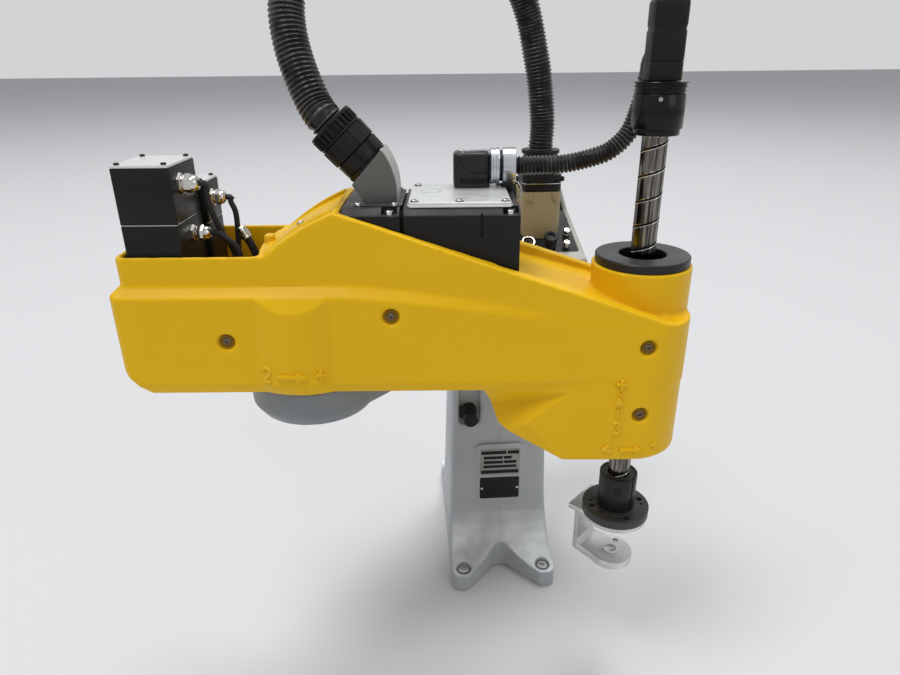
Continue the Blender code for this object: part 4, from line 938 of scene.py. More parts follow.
def numeral_three(x, z):
    """The strokes of a 3: two arcs, one over the other."""
    return [curl((x, z + 0.0036), 0.0036, 150, -80), curl((x, z - 0.0036), 0.0040, 85, -150)]


def numeral_four(x, z):
    """The stroke of a 4: up the stem, down the slant and along the bar."""
    steps = ((0.0018, -0.0056), (0.0018, 0.0056), (-0.0048, -0.0018), (0.0050, -0.0018))
    return [[(x + dx, z + dz) for dx, dz in steps]]


# The shell's screws as x, z in the forearm's frame, and the section of the cup of painted shade in each well
SHELL_SCREWS = ((-0.076, 0.565), (0.107, 0.593), (0.393, 0.553), (0.392, 0.468))
WELL_SHADE_CUP = (
    (0.0064, 0.0014), (0.0069, 0.0032), (0.0076, 0.0032),
    (0.0076, -0.001), (0.0040, -0.001), (0.0040, 0.0014),
)


def recessed_screws():
    """Screws in the shell's round recesses: one cap screw at each recess floor, on both sides, each in a cup
    of painted shade.
    """
    skins, well_shades = [], []
    for side in (-1, 1):
        for x, z in SHELL_SCREWS:
            point, _ = touched("forearm_cover", (x, side * 0.12, z), (0, -side, 0), FOREARM)
            skins.append(socket_screw(point, side * ACROSS, 0.0040, 0.0030))
            well_shades.append(turned(WELL_SHADE_CUP, 40, aimed(point, side * ACROSS), ring=True))
    return joined(skins), joined(well_shades)


# The forearm's form: how the hump's x moves and where that starts, the slope's two ends, how far it
# swells and its panel sinks, the line where the nose draws in, and the ledge over the bulge
HUMP_FROM = (-0.100, -0.020, 0.060, 0.424)
HUMP_TO = (-0.100, -0.027, 0.049, 0.424)
HUMP_START, HUMP_FADE = 0.610, 0.040
SLOPE = ((-0.027, 0.659), (0.049, 0.705))
SLOPE_SWELL, PANEL_SINK = 0.0040, 0.0034
NOSE_TOP = (0.3077, 0.497)
NOSE_LOW = (0.255, 0.452)
NOSE_TURN, NOSE_UNDERCUT = 0.83, 1.0
LEDGE_Z, UPPER_WALL = 0.616, 0.0752


def risen(value, low, high):
    """A smooth step from nought at low to one at high."""
    t = np.clip((value - low) / (high - low), 0, 1)
    return t * t * (3 - 2 * t)


def hump_form(x, y, z):
    """High points shift along x by a piecewise line, the slope's foot bows out by a parabola across
    it, and the slope swells by half a sine wave along it round a panel sunk between two smooth
    steps."""
    share = risen(z, HUMP_START, HUMP_START + HUMP_FADE)
    inside = (x > HUMP_FROM[0]) & (x < HUMP_FROM[-1])
    x = x + (np.interp(x, HUMP_FROM, HUMP_TO) - x) * share * inside
    (ax, az), (bx, bz) = SLOPE
    bow = np.clip(1 - (y / 0.075) ** 2, 0, 1) * np.clip((0.030 - x) / 0.057, 0, 1)
    bow = bow * risen(x, -0.050, -0.030)
    along = np.clip((x - ax) / (bx - ax), 0, 1)
    on_slope = ((x > ax - 0.004) & (x < bx + 0.003)) * risen(z, 0.630, az + (bz - az) * along - 0.002)
    panel = risen(along, 0.05, 0.10) * (1 - risen(along, 0.92, 0.97))
    panel = panel * (1 - risen(np.abs(y), 0.0535, 0.0575))
    z = z + on_slope * (SLOPE_SWELL * np.sin(math.pi * along) - PANEL_SINK * panel)
    return x - 0.011 * bow * share, z


def nose_form(x, y, z):
    """Below the wall's foot the housing's sides draw in by the lesser of two slopes, one from a
    slanting line and one from the foot."""
    (tx, tz), (lx, lz) = NOSE_TOP, NOSE_LOW
    beside = -((lx - tx) * (z - tz) - (lz - tz) * (x - tx)) / math.hypot(lx - tx, lz - tz)
    drawn = np.clip(np.minimum(NOSE_TURN * beside, NOSE_UNDERCUT * (tz - z)), 0, 0.03)
    near = np.clip((np.abs(y) - 0.03) / 0.05, 0, 1) * (x > 0.15)
    return y - np.sign(y) * drawn * near


def bulge_form(x, y, z):
    """The ledge runs on down over the elbow's bulge: near it no point stands further out than the
    ledge's slanting line."""
    fall = np.minimum(BULGE_RADIUS, WALL_DEPTH + 0.5625 * (LEDGE_Z - z))
    limit = np.where(z > LEDGE_Z, np.maximum(UPPER_WALL, WALL_DEPTH - 1.2 * (z - LEDGE_Z)), fall)
    held = (np.abs(x) < 0.060) & (z > 0.597) & (z < 0.640) & (np.abs(y) > limit)
    return np.where(held, np.sign(y) * limit, y)


def wells_form(x, y, z):
    """The screws' recesses widen: points near an axis move away from it by a share that fades with
    distance."""
    for cx, cz in SHELL_SCREWS:
        away = np.hypot(x - cx, z - cz)
        grow = 1 + 0.34 * np.clip(1 - away / 0.016, 0, 1) * (np.abs(y) > 0.05)
        x, z = cx + (x - cx) * grow, cz + (z - cz) * grow
    return x, z


def forearm_form(points):
    """The forearm's real form: hump, nose, bulge and recesses."""
    x, y, z = points.T
    x, z = hump_form(x, y, z)
    y = bulge_form(x, nose_form(x, y, z), z)
    x, z = wells_form(x, y, z)
    return np.column_stack([x, y, z])


class ARM_OT_castings(bpy.types.Operator):
    """Rounds every edge of the base, the inner arm, the console's housing and the yellow forearm"""

    bl_idname = "arm.castings"
    bl_label = "Castings"

    def execute(self, context):
        # The base and rear arm take the lit copy of the grey, the inner arm the shaded one
        moulded("base_casting", "base_body", "grey_enamel", 0.0026, 6, 0.3)
        moulded("rear_bracket", "rear_arm", "grey_enamel", 0.0024, 6, 0.4)
        moulded("console_housing", "console_body", "console_enamel", 0.0018, 4, 0.5)
        moulded("upper_arm", "inner_arm_body", "arm_enamel", 0.0022, 6, 0.4)
        moulded("forearm_cover", "forearm_body", "yellow_enamel", 0.0019, 4, 0.35, forearm_form, FOREARM)
        lug = block((-0.0400, -0.0300), (-0.0190, -0.0040), (0.640, 0.6675), 0.0020, 0.0012, FOREARM)
        rim = block((0.0462, 0.0545), (-0.0705, 0.0705), (0.640, 0.7050), 0.0015, 0.0020, FOREARM)
        (ax, az), (bx, bz) = SLOPE
        share = np.linspace(0.04, 0.97, 40)
        along = ax + (bx - ax) * share
        rise = az + (bz - az) * share + SLOPE_SWELL * np.sin(math.pi * share)
        lines = [np.stack([along, np.full_like(along, y), rise], -1) for y in (-0.0585, 0.0585)]
        ribs = [pipe(moved(line, FOREARM), 0.0026, 12) for line in lines]
        piece("slope_rim_and_lug", joined([lug, rim, *ribs]), "yellow_enamel", "forearm")
        screw = socket_screw((0.0025, -0.012, 0.6795), (az - bz, 0, bx - ax), 0.0042, 0.0034, FOREARM)
        piece("slope_screw", screw, "zinc_screw", "forearm")
        # Painted shade: a darker cup in each screw well
        screws, well_shades = recessed_screws()
        piece("shell_screws", screws, "dull_screw", "forearm")
        piece("shell_screw_wells", well_shades, "brown_recess", "forearm")
        return {"FINISHED"}


class ARM_OT_marks(bpy.types.Operator):
    """Adds the raised axis numbers, arrows and signs on the forearm's near wall"""

    bl_idname = "arm.marks"
    bl_label = "Axis marks"

    def execute(self, context):
        height = context.scene.arm_sizes.mark_height
        lines = numeral_two(-0.0349, 0.5265) + numeral_three(0.3652, 0.4520)
        lines += numeral_four(0.3569, 0.423)
        lines += [[(0.3657, 0.4985), (0.3657, 0.4955)], [(0.3655, 0.4775), (0.3655, 0.4655)]]
        lines += [[(0.4086, 0.4268), (0.4190, 0.4268)], [(0.4138, 0.4210), (0.4138, 0.4322)]]
        skins = [mark_stroke(line, height) for line in lines]
        tall = height * 1.3
        skins.append(raised_mark(arrow_outline(0.0165, 0.0022, 0.0115, 0.0068), -0.0055, 0.526, tall))
        skins.append(raised_mark(plus_outline(0.0062, 0.0018), 0.0264, 0.527, tall))
        skins.append(raised_mark(plus_outline(0.0064, 0.0017), 0.3667, 0.509, tall))
        skins.append(raised_mark(arrow_outline(0.0135, 0.0019, 0.0100, 0.0058), 0.3856, 0.4218, tall))
        wedge = [(-0.0056, -0.0050), (0.0056, -0.0050), (0, 0.0062)]
        skins.append(raised_mark(wedge, 0.3655, 0.4875, tall))
        piece("axis_marks", joined(skins), "yellow_enamel", "forearm")
        return {"FINISHED"}


# The upper plate's bars as foot, height, left and right, and the heights of two ridges on the casting
PLATE_BARS = (
    (0.2155, 0.0070, -0.032, 0.012), (0.2155, 0.0070, 0.0140, 0.034), (0.2058, 0.0058, -0.028, 0.0055),
    (0.2058, 0.0058, 0.007, 0.0215), (0.1965, 0.0058, -0.028, 0.0065), (0.1965, 0.0058, 0.008, 0.030),
    (0.1880, 0.0052, -0.028, 0.030), (0.1765, 0.0066, -0.032, 0.034),
)
PARTING_RIDGES = (("lower", np.arange(0.066, 0.1075, 0.002)), ("upper", np.arange(0.2345, 0.262, 0.003)))


class ARM_OT_base_details(bpy.types.Operator):
    """Adds the base's blank plates, parting ridges, foot screws and the plug in its pocket"""

    bl_idname = "arm.base_details"
    bl_label = "Base details"

    def execute(self, context):
        front = touched("base_casting", (0, -0.3, 0.16), (0, 1, 0))[0][1]
        stand = aimed((0, front, 0), (0, -1, 0))
        pad = block((-0.039, 0.0395), (0.108, 0.234), (-0.002, 0.0012), 0.006, 0.0008, stand)
        piece("plate_pad", pad, "grey_enamel", "base")
        upper = block((-0.034, 0.036), (0.1735, 0.2255), (0.0010, 0.0022), 0.003, 0.0004, stand)
        piece("upper_rating_plate", upper, "name_plate", "base")
        bars = [
            block((a, b), (z, z + tall), (0.0018, 0.0025), 0.0006, 0.0002, stand)
            for z, tall, a, b in PLATE_BARS
        ]
        piece("rating_plate_bars", joined(bars), "black_plastic", "base")
        lower = block((-0.034, 0.036), (0.1235, 0.1675), (0.0010, 0.0022), 0.003, 0.0004, stand)
        piece("lower_rating_plate", lower, "black_plastic", "base")
        rivets = [
            socket_screw((x, front - 0.002, 0.1455), (0, -1, 0), 0.0022, 0.0012, bite=0.3)
            for x in (-0.0305, 0.0325)
        ]
        piece("plate_rivets", joined(rivets), "zinc_screw", "base")
        for name, heights in PARTING_RIDGES:
            line = [touched("base_casting", (0.002, -0.3, z), (0, 1, 0))[0] for z in heights]
            ridge = pipe(line, 0.0009, 8, (1, 0, 0))
            piece(name + "_parting_ridge", ridge, "grey_enamel", "base")
        spots = [(x, y) for x in (-0.069, 0.069) for y in (-0.163, 0.163)]
        screws = screws_at(spots, 0.0225, 0.0085, 0.0095, BASE)
        piece("foot_screws", screws, "zinc_screw", "base")
        rings = washers_at(spots, 0.0221, 0.006, 0.0112, 0.0014, BASE)
        piece("foot_washers", rings, "zinc_screw", "base")
        back = touched("base_casting", (-0.052, -0.3, 0.292), (0, 1, 0))[0][1]
        ribs = [(0.0135 - 0.0016 * (k % 2), 0.001 + 0.0016 * k) for k in range(9)]
        tip = [(0.011, 0.0152), (0.008, 0.0158), (0.0075, 0.019), (0.0045, 0.020)]
        lean = aimed((-0.052, back, 0.292), (-0.25, -0.95, -0.2))
        plug = turned([(0.0135, 0.0002), *ribs, *tip], 36, lean)
        piece("pocket_plug", plug, "black_plastic", "base")
        ear = aimed((-0.0600, back - 0.012, 0.3035), (-0.2, -0.95, 0.1))
        strap = block((-0.0095, 0.0035), (-0.0030, 0.0030), (-0.002, 0.002), 0.0024, 0.0008, ear)
        piece("plug_strap", strap, "black_plastic", "base")
        return {"FINISHED"}


# Console on the base's rear arm


# The console's sloped panel falls 51 mm in 74 mm
PANEL_SLOPE = math.atan2(0.051, 0.074)
PANEL_NORMAL = np.array((0.0, -math.sin(PANEL_SLOPE), math.cos(PANEL_SLOPE)))


def panel_frame(node):
    """A frame at a fitting's foot, its +Z the sloped panel's normal, and how far the fitting stands out
    along it."""
    points = vertices_of(frame["nodes"][node].data)
    along = points @ PANEL_NORMAL
    foot = points[along < along.min() + 1e-4].mean(0)
    return aimed(foot, PANEL_NORMAL), along.max() - along.min()


class ARM_OT_console(bpy.types.Operator):
    """Details the console's connectors, tan box and black conduit clamp"""

    bl_idname = "arm.console"
    bl_label = "Console"

    def execute(self, context):
        place, tall = panel_frame("round_connector")
        shell = [
            (0.0118, 0.0002), (0.0118, 0.003), (0.0108, 0.0034), (0.0108, tall - 0.0012), (0.0102, tall),
            (0.0086, tall),
        ]
        ring = lathe([*shell, (0.0084, tall - 0.001), (0.0084, 0.003)], 36)
        piece("ring_connector", placed(ring, place), "nickel", "base")
        core = lathe([(0.0080, 0.003), (0.0080, tall - 0.003), (0.0074, tall - 0.0024)], 28)
        angle = np.linspace(0, TURN, 8, endpoint=False)
        pin = lathe([(0.0006, 0), (0.0006, 0.0016), (0.0003, 0.0019)], 8)
        spots = [(0.0052 * math.cos(a), 0.0052 * math.sin(a), tall - 0.0025) for a in angle]
        pins = [placed(pin, frame_at(spot)) for spot in spots]
        piece("ring_connector_core", placed(core, place), "black_plastic", "base")
        stand_in("ring_connector_pins", placed(joined(pins), place), "brass", "base", "round_connector")
        place, tall = panel_frame("panel_plug")
        ribs = [(0.0108 - 0.0010 * (k % 2), 0.008 + 0.0012 * k) for k in range(11)]
        foot = [(0.0112, 0.0002), (0.0112, 0.0052), (0.0092, 0.0062), (0.0092, 0.0076)]
        tip = [(0.0106, tall - 0.001), (0.0096, tall), (0.0060, tall - 0.0004), (0.0056, tall - 0.003)]
        plug = lathe([*foot, *ribs, *tip], 36)
        stand_in("ribbed_plug", placed(plug, place), "black_plastic", "base", "panel_plug")
        for node in ("air_fitting_upper", "air_fitting_lower"):
            place, tall = panel_frame(node)
            body = [
                (0.0048, 0.0002, 6), (0.0048, 0.0048, 6), (0.0044, 0.0054), (0.0050, 0.0060),
                (0.0050, tall - 0.0014), (0.0044, tall - 0.0006), (0.0034, tall - 0.0006),
            ]
            stand_in(node + "_body", turned(body, 24, place), "nickel", "base", node)
            push = [(0.0034, -0.0008), (0.0036, -0.0002), (0.0036, 0), (0.0022, 0), (0.0022, -0.0016)]
            push = turned(from_rim(0, tall, push), 20, place)
            piece(node + "_push_ring", push, "white_insert", "base")
        crisp("junction_box", "tan_box", "tan_plastic", 0.0016, 3)
        (x0, x1), (y0, y1), (z0, z1) = spans("junction_box")
        lugs = [
            block((x, x + 0.010), (y0 - 0.0028, y0 + 0.003), (z1 - 0.014, z1 - 0.002), 0.002, 0.001)
            for x in (x0 + 0.006, x1 - 0.016)
        ]
        piece("tan_box_lugs", joined(lugs), "tan_plastic", "base")
        crisp("conduit_clamp", "clamp_body", "black_plastic", 0.0012, 2)
        (x0, x1), (y0, y1), (z0, z1) = spans("conduit_clamp")
        line = block(
            (x0 - 0.0003, x1 + 0.0003), (y0 - 0.0003, y1 + 0.0003), (z0 + 0.0118, z0 + 0.0128), 0.012,
            0.0002,
        )
        piece("clamp_parting_line", line, "nickel", "base")
        bolts = [
            socket_screw((x1 + 0.0002, y, z0 + 0.018), (1, 0, 0), 0.0042, 0.0042)
            for y in (y0 + 0.012, y1 - 0.012)
        ]
        bolts += [
            socket_screw((x, y0 - 0.0002, z0 + 0.018), (0, -1, 0), 0.0030, 0.0024)
            for x in (x0 + 0.008, x1 - 0.008)
        ]
        piece("clamp_bolts", joined(bolts), "black_screw", "base")
        return {"FINISHED"}


# Motors and their cables


def gland_skin(radius, length, place):
    """Cable gland: a hexagon nut, a collar, a large faceted body and a domed rim, in shares of its
    radius and length."""
    profile = [
        (0.90, 0.01, 6), (0.95, 0.03, 6), (0.95, 0.17, 6), (0.90, 0.19, 6), (0.88, 0.20), (0.92, 0.23),
        (0.92, 0.29), (0.88, 0.31),
    ]
    profile += [
        (0.84, 0.32, 6), (0.88, 0.35, 6), (0.88, 0.64, 6), (0.84, 0.67, 6), (0.86, 0.68), (0.86, 0.78),
        (0.78, 0.88),
    ]
    profile += [(0.64, 0.96), (0.50, 1.0), (0.44, 0.97)]
    rows = [(radius * row[0], length * row[1], *row[2:]) for row in profile]
    return turned(rows, 48, place)


# Each motor's name, its seam's height and its lid screws' radius; each gland's name, its foot, radius
# and length, and its lead's points; all in the forearm's frame
MOTOR_SHIFT = np.array((0.0030, 0, 0.0030))
MOTORS = (("elbow_motor", 0.691, 0.0029), ("quill_motor", 0.675, 0.0026))
GLANDS = (
    (
        "elbow_motor", (-0.1172, -0.040, 0.7315), 0.0102, 0.0215,
        (
            (-0.0925, -0.032, 0.7135), (-0.0880, -0.022, 0.680), (-0.0780, -0.012, 0.648),
            (-0.0740, -0.006, 0.600), (-0.0740, -0.006, 0.5603),
        ),
    ),
    (
        "elbow_signal", (-0.1172, -0.025, 0.6738), 0.0086, 0.0205,
        (
            (-0.0810, -0.024, 0.667), (-0.0690, -0.022, 0.650), (-0.0610, -0.022, 0.600),
            (-0.0610, -0.022, 0.5603),
        ),
    ),
    (
        "quill_motor", (-0.1117, 0.036, 0.7017), 0.0092, 0.0175,
        (
            (-0.0895, 0.035, 0.6975), (-0.0848, 0.034, 0.6835), (-0.0850, 0.033, 0.660),
            (-0.0890, 0.033, 0.610), (-0.0900, 0.033, 0.5603),
        ),
    ),
)
LEAD_STEP = 0.003
TUB_LEAD = ((-0.052, 0.010, 0.5603), (-0.052, 0.010, 0.610), (-0.0675, 0.010, 0.6580))
TUB_LEAD_LEAN = (-0.46, 0, 0.89)


class ARM_OT_motors(bpy.types.Operator):
    """Makes the two motors in the rear tub, their lids, glands and cables, and the loose lead"""

    bl_idname = "arm.motors"
    bl_label = "Motors"

    def execute(self, context):
        upright = FOREARM @ frame_at(MOTOR_SHIFT)
        for node, seam, screw in MOTORS:
            lid = node + "_lid"
            (x0, x1), (y0, y1), (z0, z1) = spans(node, FOREARM)
            seam -= MOTOR_SHIFT[2]
            levels = ((z0 - MOTOR_SHIFT[2], seam - 0.0004), (seam + 0.0004, z1))
            halves = [block((x0, x1), (y0, y1), level, 0.002, 0.0008, upright) for level in levels]
            stand_in(node + "_case", joined(halves), "motor_black", "forearm", node)
            band = block(
                (x0 + 0.0008, x1 - 0.0008), (y0 + 0.0008, y1 - 0.0008), (seam - 0.0012, seam + 0.0012),
                0.002, 0.0001, upright,
            )
            piece(node + "_parting_line", band, "band_steel", "forearm")
            (x0, x1), (y0, y1), (z0, z1) = spans(lid, FOREARM)
            plate = block(
                (x0 - 0.0006, x1 + 0.0006), (y0 - 0.0006, y1 + 0.0006), (z0, z1 - 0.0012), 0.0025, 0.0006,
                upright,
            )
            stand_in(lid + "_plate", plate, "pale_plate", "forearm", lid)
            inset = screw + 0.0022
            spots = [(x, y) for x in (x0 + inset, x1 - inset) for y in (y0 + inset, y1 - inset)]
            heads = screws_at(spots, z1 - 0.0013, screw, screw * 0.8, upright)
            piece(lid + "_screws", heads, "black_screw", "forearm")
        for name, face, radius, length, points in GLANDS:
            gland, cable = "gland_" + name, "cable_" + name
            skin = gland_skin(radius, length, aimed(face, (1, 0, 0), FOREARM))
            stand_in(gland + "_body", skin, "nickel", "forearm", gland)
            start = (face[0] + length - 0.001, face[1], face[2])
            jacket = strand(led([start, *points], (1, 0, 0), (0, 0, -1)), LEAD_STEP, 0.0033, 14)
            stand_in(cable + "_jacket", jacket, "cable_rubber", "forearm", cable)
        lead = strand(led(TUB_LEAD, (0, 0, 1), TUB_LEAD_LEAN), LEAD_STEP, 0.0045, 16)
        stand_in("loose_lead", lead, "cable_rubber", "forearm", "tub_lead")
        profile = [
            (0.0056, 0.0003), (0.0062, 0.0008), (0.0062, 0.0042), (0.0056, 0.0046), (0.0060, 0.0050, 6),
            (0.0060, 0.0090, 6),
        ]
        profile += [
            (0.0052, 0.0096), (0.0056, 0.0102), (0.0056, 0.0142), (0.0050, 0.0150), (0.0036, 0.0150),
            (0.0034, 0.0110),
        ]
        plug = turned(profile, 30, aimed(TUB_LEAD[-1], TUB_LEAD_LEAN, FOREARM))
        stand_in("loose_plug", plug, "nickel", "forearm", "tub_plug")
        return {"FINISHED"}


# Deck over the forearm's middle


def chamfered(half, low, high, cut):
    """Section of the deck cover: a rectangle whose two upper corners are cut at a slant."""
    return eased(
        [
            (-half, low), (half, low), (half, high - cut), (half - cut, high), (cut - half, high),
            (-half, high - cut),
        ],
        0.0012, 2,
    )


# Where along the deck its two pairs of notches are
NOTCHES = (0.1077, 0.2376)


class ARM_OT_deck(bpy.types.Operator):
    """Makes the black deck cover in two blocks, the pale plate, the conduit's bracket and their screws"""

    bl_idname = "arm.deck"
    bl_label = "Deck"

    def execute(self, context):
        (_, x1), (y0, y1), (z0, z1) = spans("centre_cover", FOREARM)
        half = (y1 - y0) / 2
        section = chamfered(half, z0, z1, 0.0075)
        core = chamfered(half - 0.004, z0 + 0.001, z1 - 0.004, 0.0075)
        ends = ((0.0565, 0.119), (0.123, x1))
        skins = [prism(section, a, b, 0.0008, "along", FOREARM) for a, b in ends]
        cover = piece("deck_cover", joined(skins), "deck_plastic", "forearm")
        for x in NOTCHES:
            for side in (-1, 1):
                low, high = sorted((side * 0.0475, side * 0.07))
                width = (x - 0.0085, x + 0.0085)
                carved(cover, block(width, (low, high), (0.6985, 0.72), 0.0016, 0.0002, FOREARM))
        slit = block((0.2052, 0.2078), (-0.07, -0.0600), (0.674, 0.702), 0.0008, 0.0002, FOREARM)
        carved(cover, slit)
        finished(cover, "deck_plastic")
        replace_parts(cover, "centre_cover")
        # Painted shade: a dark core in the gap between the deck's two blocks
        core = prism(core, 0.117, 0.125, 0.0004, "along", FOREARM)
        piece("deck_core", core, "dark_recess", "forearm")
        spots = [(x, side * 0.0545) for x in NOTCHES for side in (-1, 1)]
        heads = screws_at(spots, 0.6984, 0.0046, 0.0052)
        piece("notch_screws", heads, "zinc_screw", "forearm")
        (x0, x1), (y0, y1), (z0, z1) = spans("top_plate", FOREARM)
        low = block((x0, x1), (y0, y1), (z0, z0 + 0.0022), 0.0050, 0.0005, FOREARM)
        high = block(
            (x0 + 0.0012, x1 - 0.0012), (y0 + 0.0012, y1 - 0.0012), (z0 + 0.0020, z1), 0.0046, 0.0010,
            FOREARM,
        )
        plate = piece("pale_deck_plate", high, "pale_plate", "forearm")
        around = aimed((0.151, 0.012, z1), (0, 0, 1), FOREARM)
        section = [(0.0124, -0.0008), (0.0124, 0.004), (0.0108, 0.004), (0.0108, -0.0008)]
        carved(plate, turned(section, 48, around, ring=True))
        finished(plate, "pale_plate")
        piece("pale_deck_plate_rim", low, "pale_plate", "forearm")
        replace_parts(plate, "top_plate")
        spots = [(0.1345, -0.0475), (0.183, -0.0475), (0.2325, -0.0475), (0.1345, 0.0475), (0.2325, 0.0475)]
        heads = screws_at(spots, z1 - 0.0004, 0.0034, 0.0026)
        piece("deck_plate_screws", heads, "zinc_screw", "forearm")
        rims = washers_at(spots, z1 - 0.0002, 0.0036, 0.0048, 0.0005)
        piece("deck_plate_washers", rims, "black_screw", "forearm")
        (x0, x1), (y0, y1), (z0, z1) = spans("bracket_base", FOREARM)
        foot = block(
            (x0 + 0.002, x1 - 0.004), (y0 + 0.002, y1 - 0.002), (z0 - 0.0004, z1 - 0.0014), 0.004, 0.0002,
            FOREARM,
        )
        stand_in("bracket_foot_plate", foot, "deck_plastic", "forearm", "bracket_base")
        spots = [(0.0736, -0.0445), (0.1128, -0.0445), (0.0736, 0.0445), (0.1128, 0.0445)]
        heads = screws_at(spots, z1 - 0.0016, 0.0038, 0.0032)
        piece("bracket_foot_screws", heads, "zinc_screw", "forearm")
        return {"FINISHED"}


# The bracket's side as x and rise over its foot, and the conduit fitting's direction and length
BRACKET_RISE = (
    (0.0662, 0.0181), (0.0999, 0.0547), (0.1055, 0.0459), (0.1096, 0.0371), (0.1136, 0.0244),
    (0.1151, 0.0124), (0.1151, 0.0), (0.0810, 0.0),
)
FITTING_OUT = (-0.686, 0.0, 0.727)
FITTING_LENGTH = 0.0595


def cogged(profile, steps, teeth, height, share=0.8, shift=0.0):
    """Rows of (radius, height, raised) turned about +Z; a raised row stands out by a height inside each
    tooth's share of the circle."""
    angle = np.linspace(0, TURN, steps, endpoint=False)
    part = (angle * teeth / TURN + shift) % 1
    tooth = np.clip((share / 2 - np.abs(part - 0.5)) * 12, 0, 1)
    rows = []
    for radius, level, raised in profile:
        rows.append(about_axis(radius + height * tooth * raised, angle, level))
    return sleeve(rows)


class ARM_OT_conduit_bracket(bpy.types.Operator):
    """Makes the sheet bracket that carries the large conduit, and the conduit's ribbed fitting"""

    bl_idname = "arm.conduit_bracket"
    bl_label = "Conduit bracket"

    def execute(self, context):
        _, (near, far), (low, _) = spans("conduit_bracket", FOREARM)
        outline = [(x, low + rise - (0.0020 if rise == 0 else 0)) for x, rise in BRACKET_RISE]
        turned_round = np.array(outline[::-1])
        core = eased(turned_round, [0.001, 0.001, 0.001, 0.002, 0.003, 0.003, 0.003, 0.0015], 3)
        sheet = prism(core, near, far, 0.0010, "across", FOREARM, 3)
        stand_in("bracket_sheet", sheet, "bracket_grey", "forearm", "conduit_bracket")
        # Painted highlight: a lighter strip over the sheet's curved edge
        bend = [(x, 0, z) for x, z in outline[1:7]]
        side = smooth_through([(0.093, 0, low + 0.062), *bend, (0.1151, 0, low - 0.012)], 6)
        edge = (
            (-0.0014, near + 0.0012), (0.0008, near + 0.0012), (0.0008, far - 0.0012),
            (-0.0014, far - 0.0012),
        )
        rows = [[(x + dx, y, z) for dx, y in edge] for x, _, z in side]
        highlight_strip = placed(sleeve(rows), FOREARM)
        piece("bracket_rolled_edge", highlight_strip, "console_enamel", "forearm")
        (ax, az), (bx, bz) = outline[:2]
        foot = ((ax + bx) / 2, (near + far) / 2, (az + bz) / 2)
        place = aimed(foot, FITTING_OUT, FOREARM, up=(0, 1, 0))
        flange = lathe(
            [(0.0246, -0.003, 8), (0.0252, 0.0008, 8), (0.0252, 0.0032, 8), (0.0244, 0.0038, 8)], 64,
        )
        zone_one = cogged(
            [(0.0238, 0.003, 0), (0.0246, 0.0045, 1), (0.0250, 0.0195, 1), (0.0240, 0.0202, 0)], 192, 8,
            0.0020, 0.84,
        )
        zone_two = cogged(
            [(0.0250, 0.0202, 0), (0.0260, 0.0212, 1), (0.0264, 0.0405, 1), (0.0256, 0.0414, 0)], 192, 8,
            0.0018, 0.84, 0.5,
        )
        rim = lathe([(0.0256, 0.0414), (0.0272, 0.0418), (0.0272, 0.0440), (0.0262, 0.0446)], 64)
        comb = cogged(
            [
                (0.0240, 0.0440, 0), (0.0250, 0.0448, 1), (0.0250, 0.0560, 1), (0.0236, 0.0566, 0),
                (0.0216, 0.0568, 0),
            ],
            320, 26, 0.0030, 0.5,
        )
        end = lathe(
            [
                (0.0250, 0.0560), (0.0276, 0.0562), (0.0276, FITTING_LENGTH - 0.0006),
                (0.0268, FITTING_LENGTH), (0.0212, FITTING_LENGTH),
            ],
            64,
        )
        skins = [placed(skin, place) for skin in (flange, zone_one, zone_two, rim, comb, end)]
        stand_in("conduit_gland", joined(skins), "black_plastic", "forearm", "conduit_fitting")
        return {"FINISHED"}


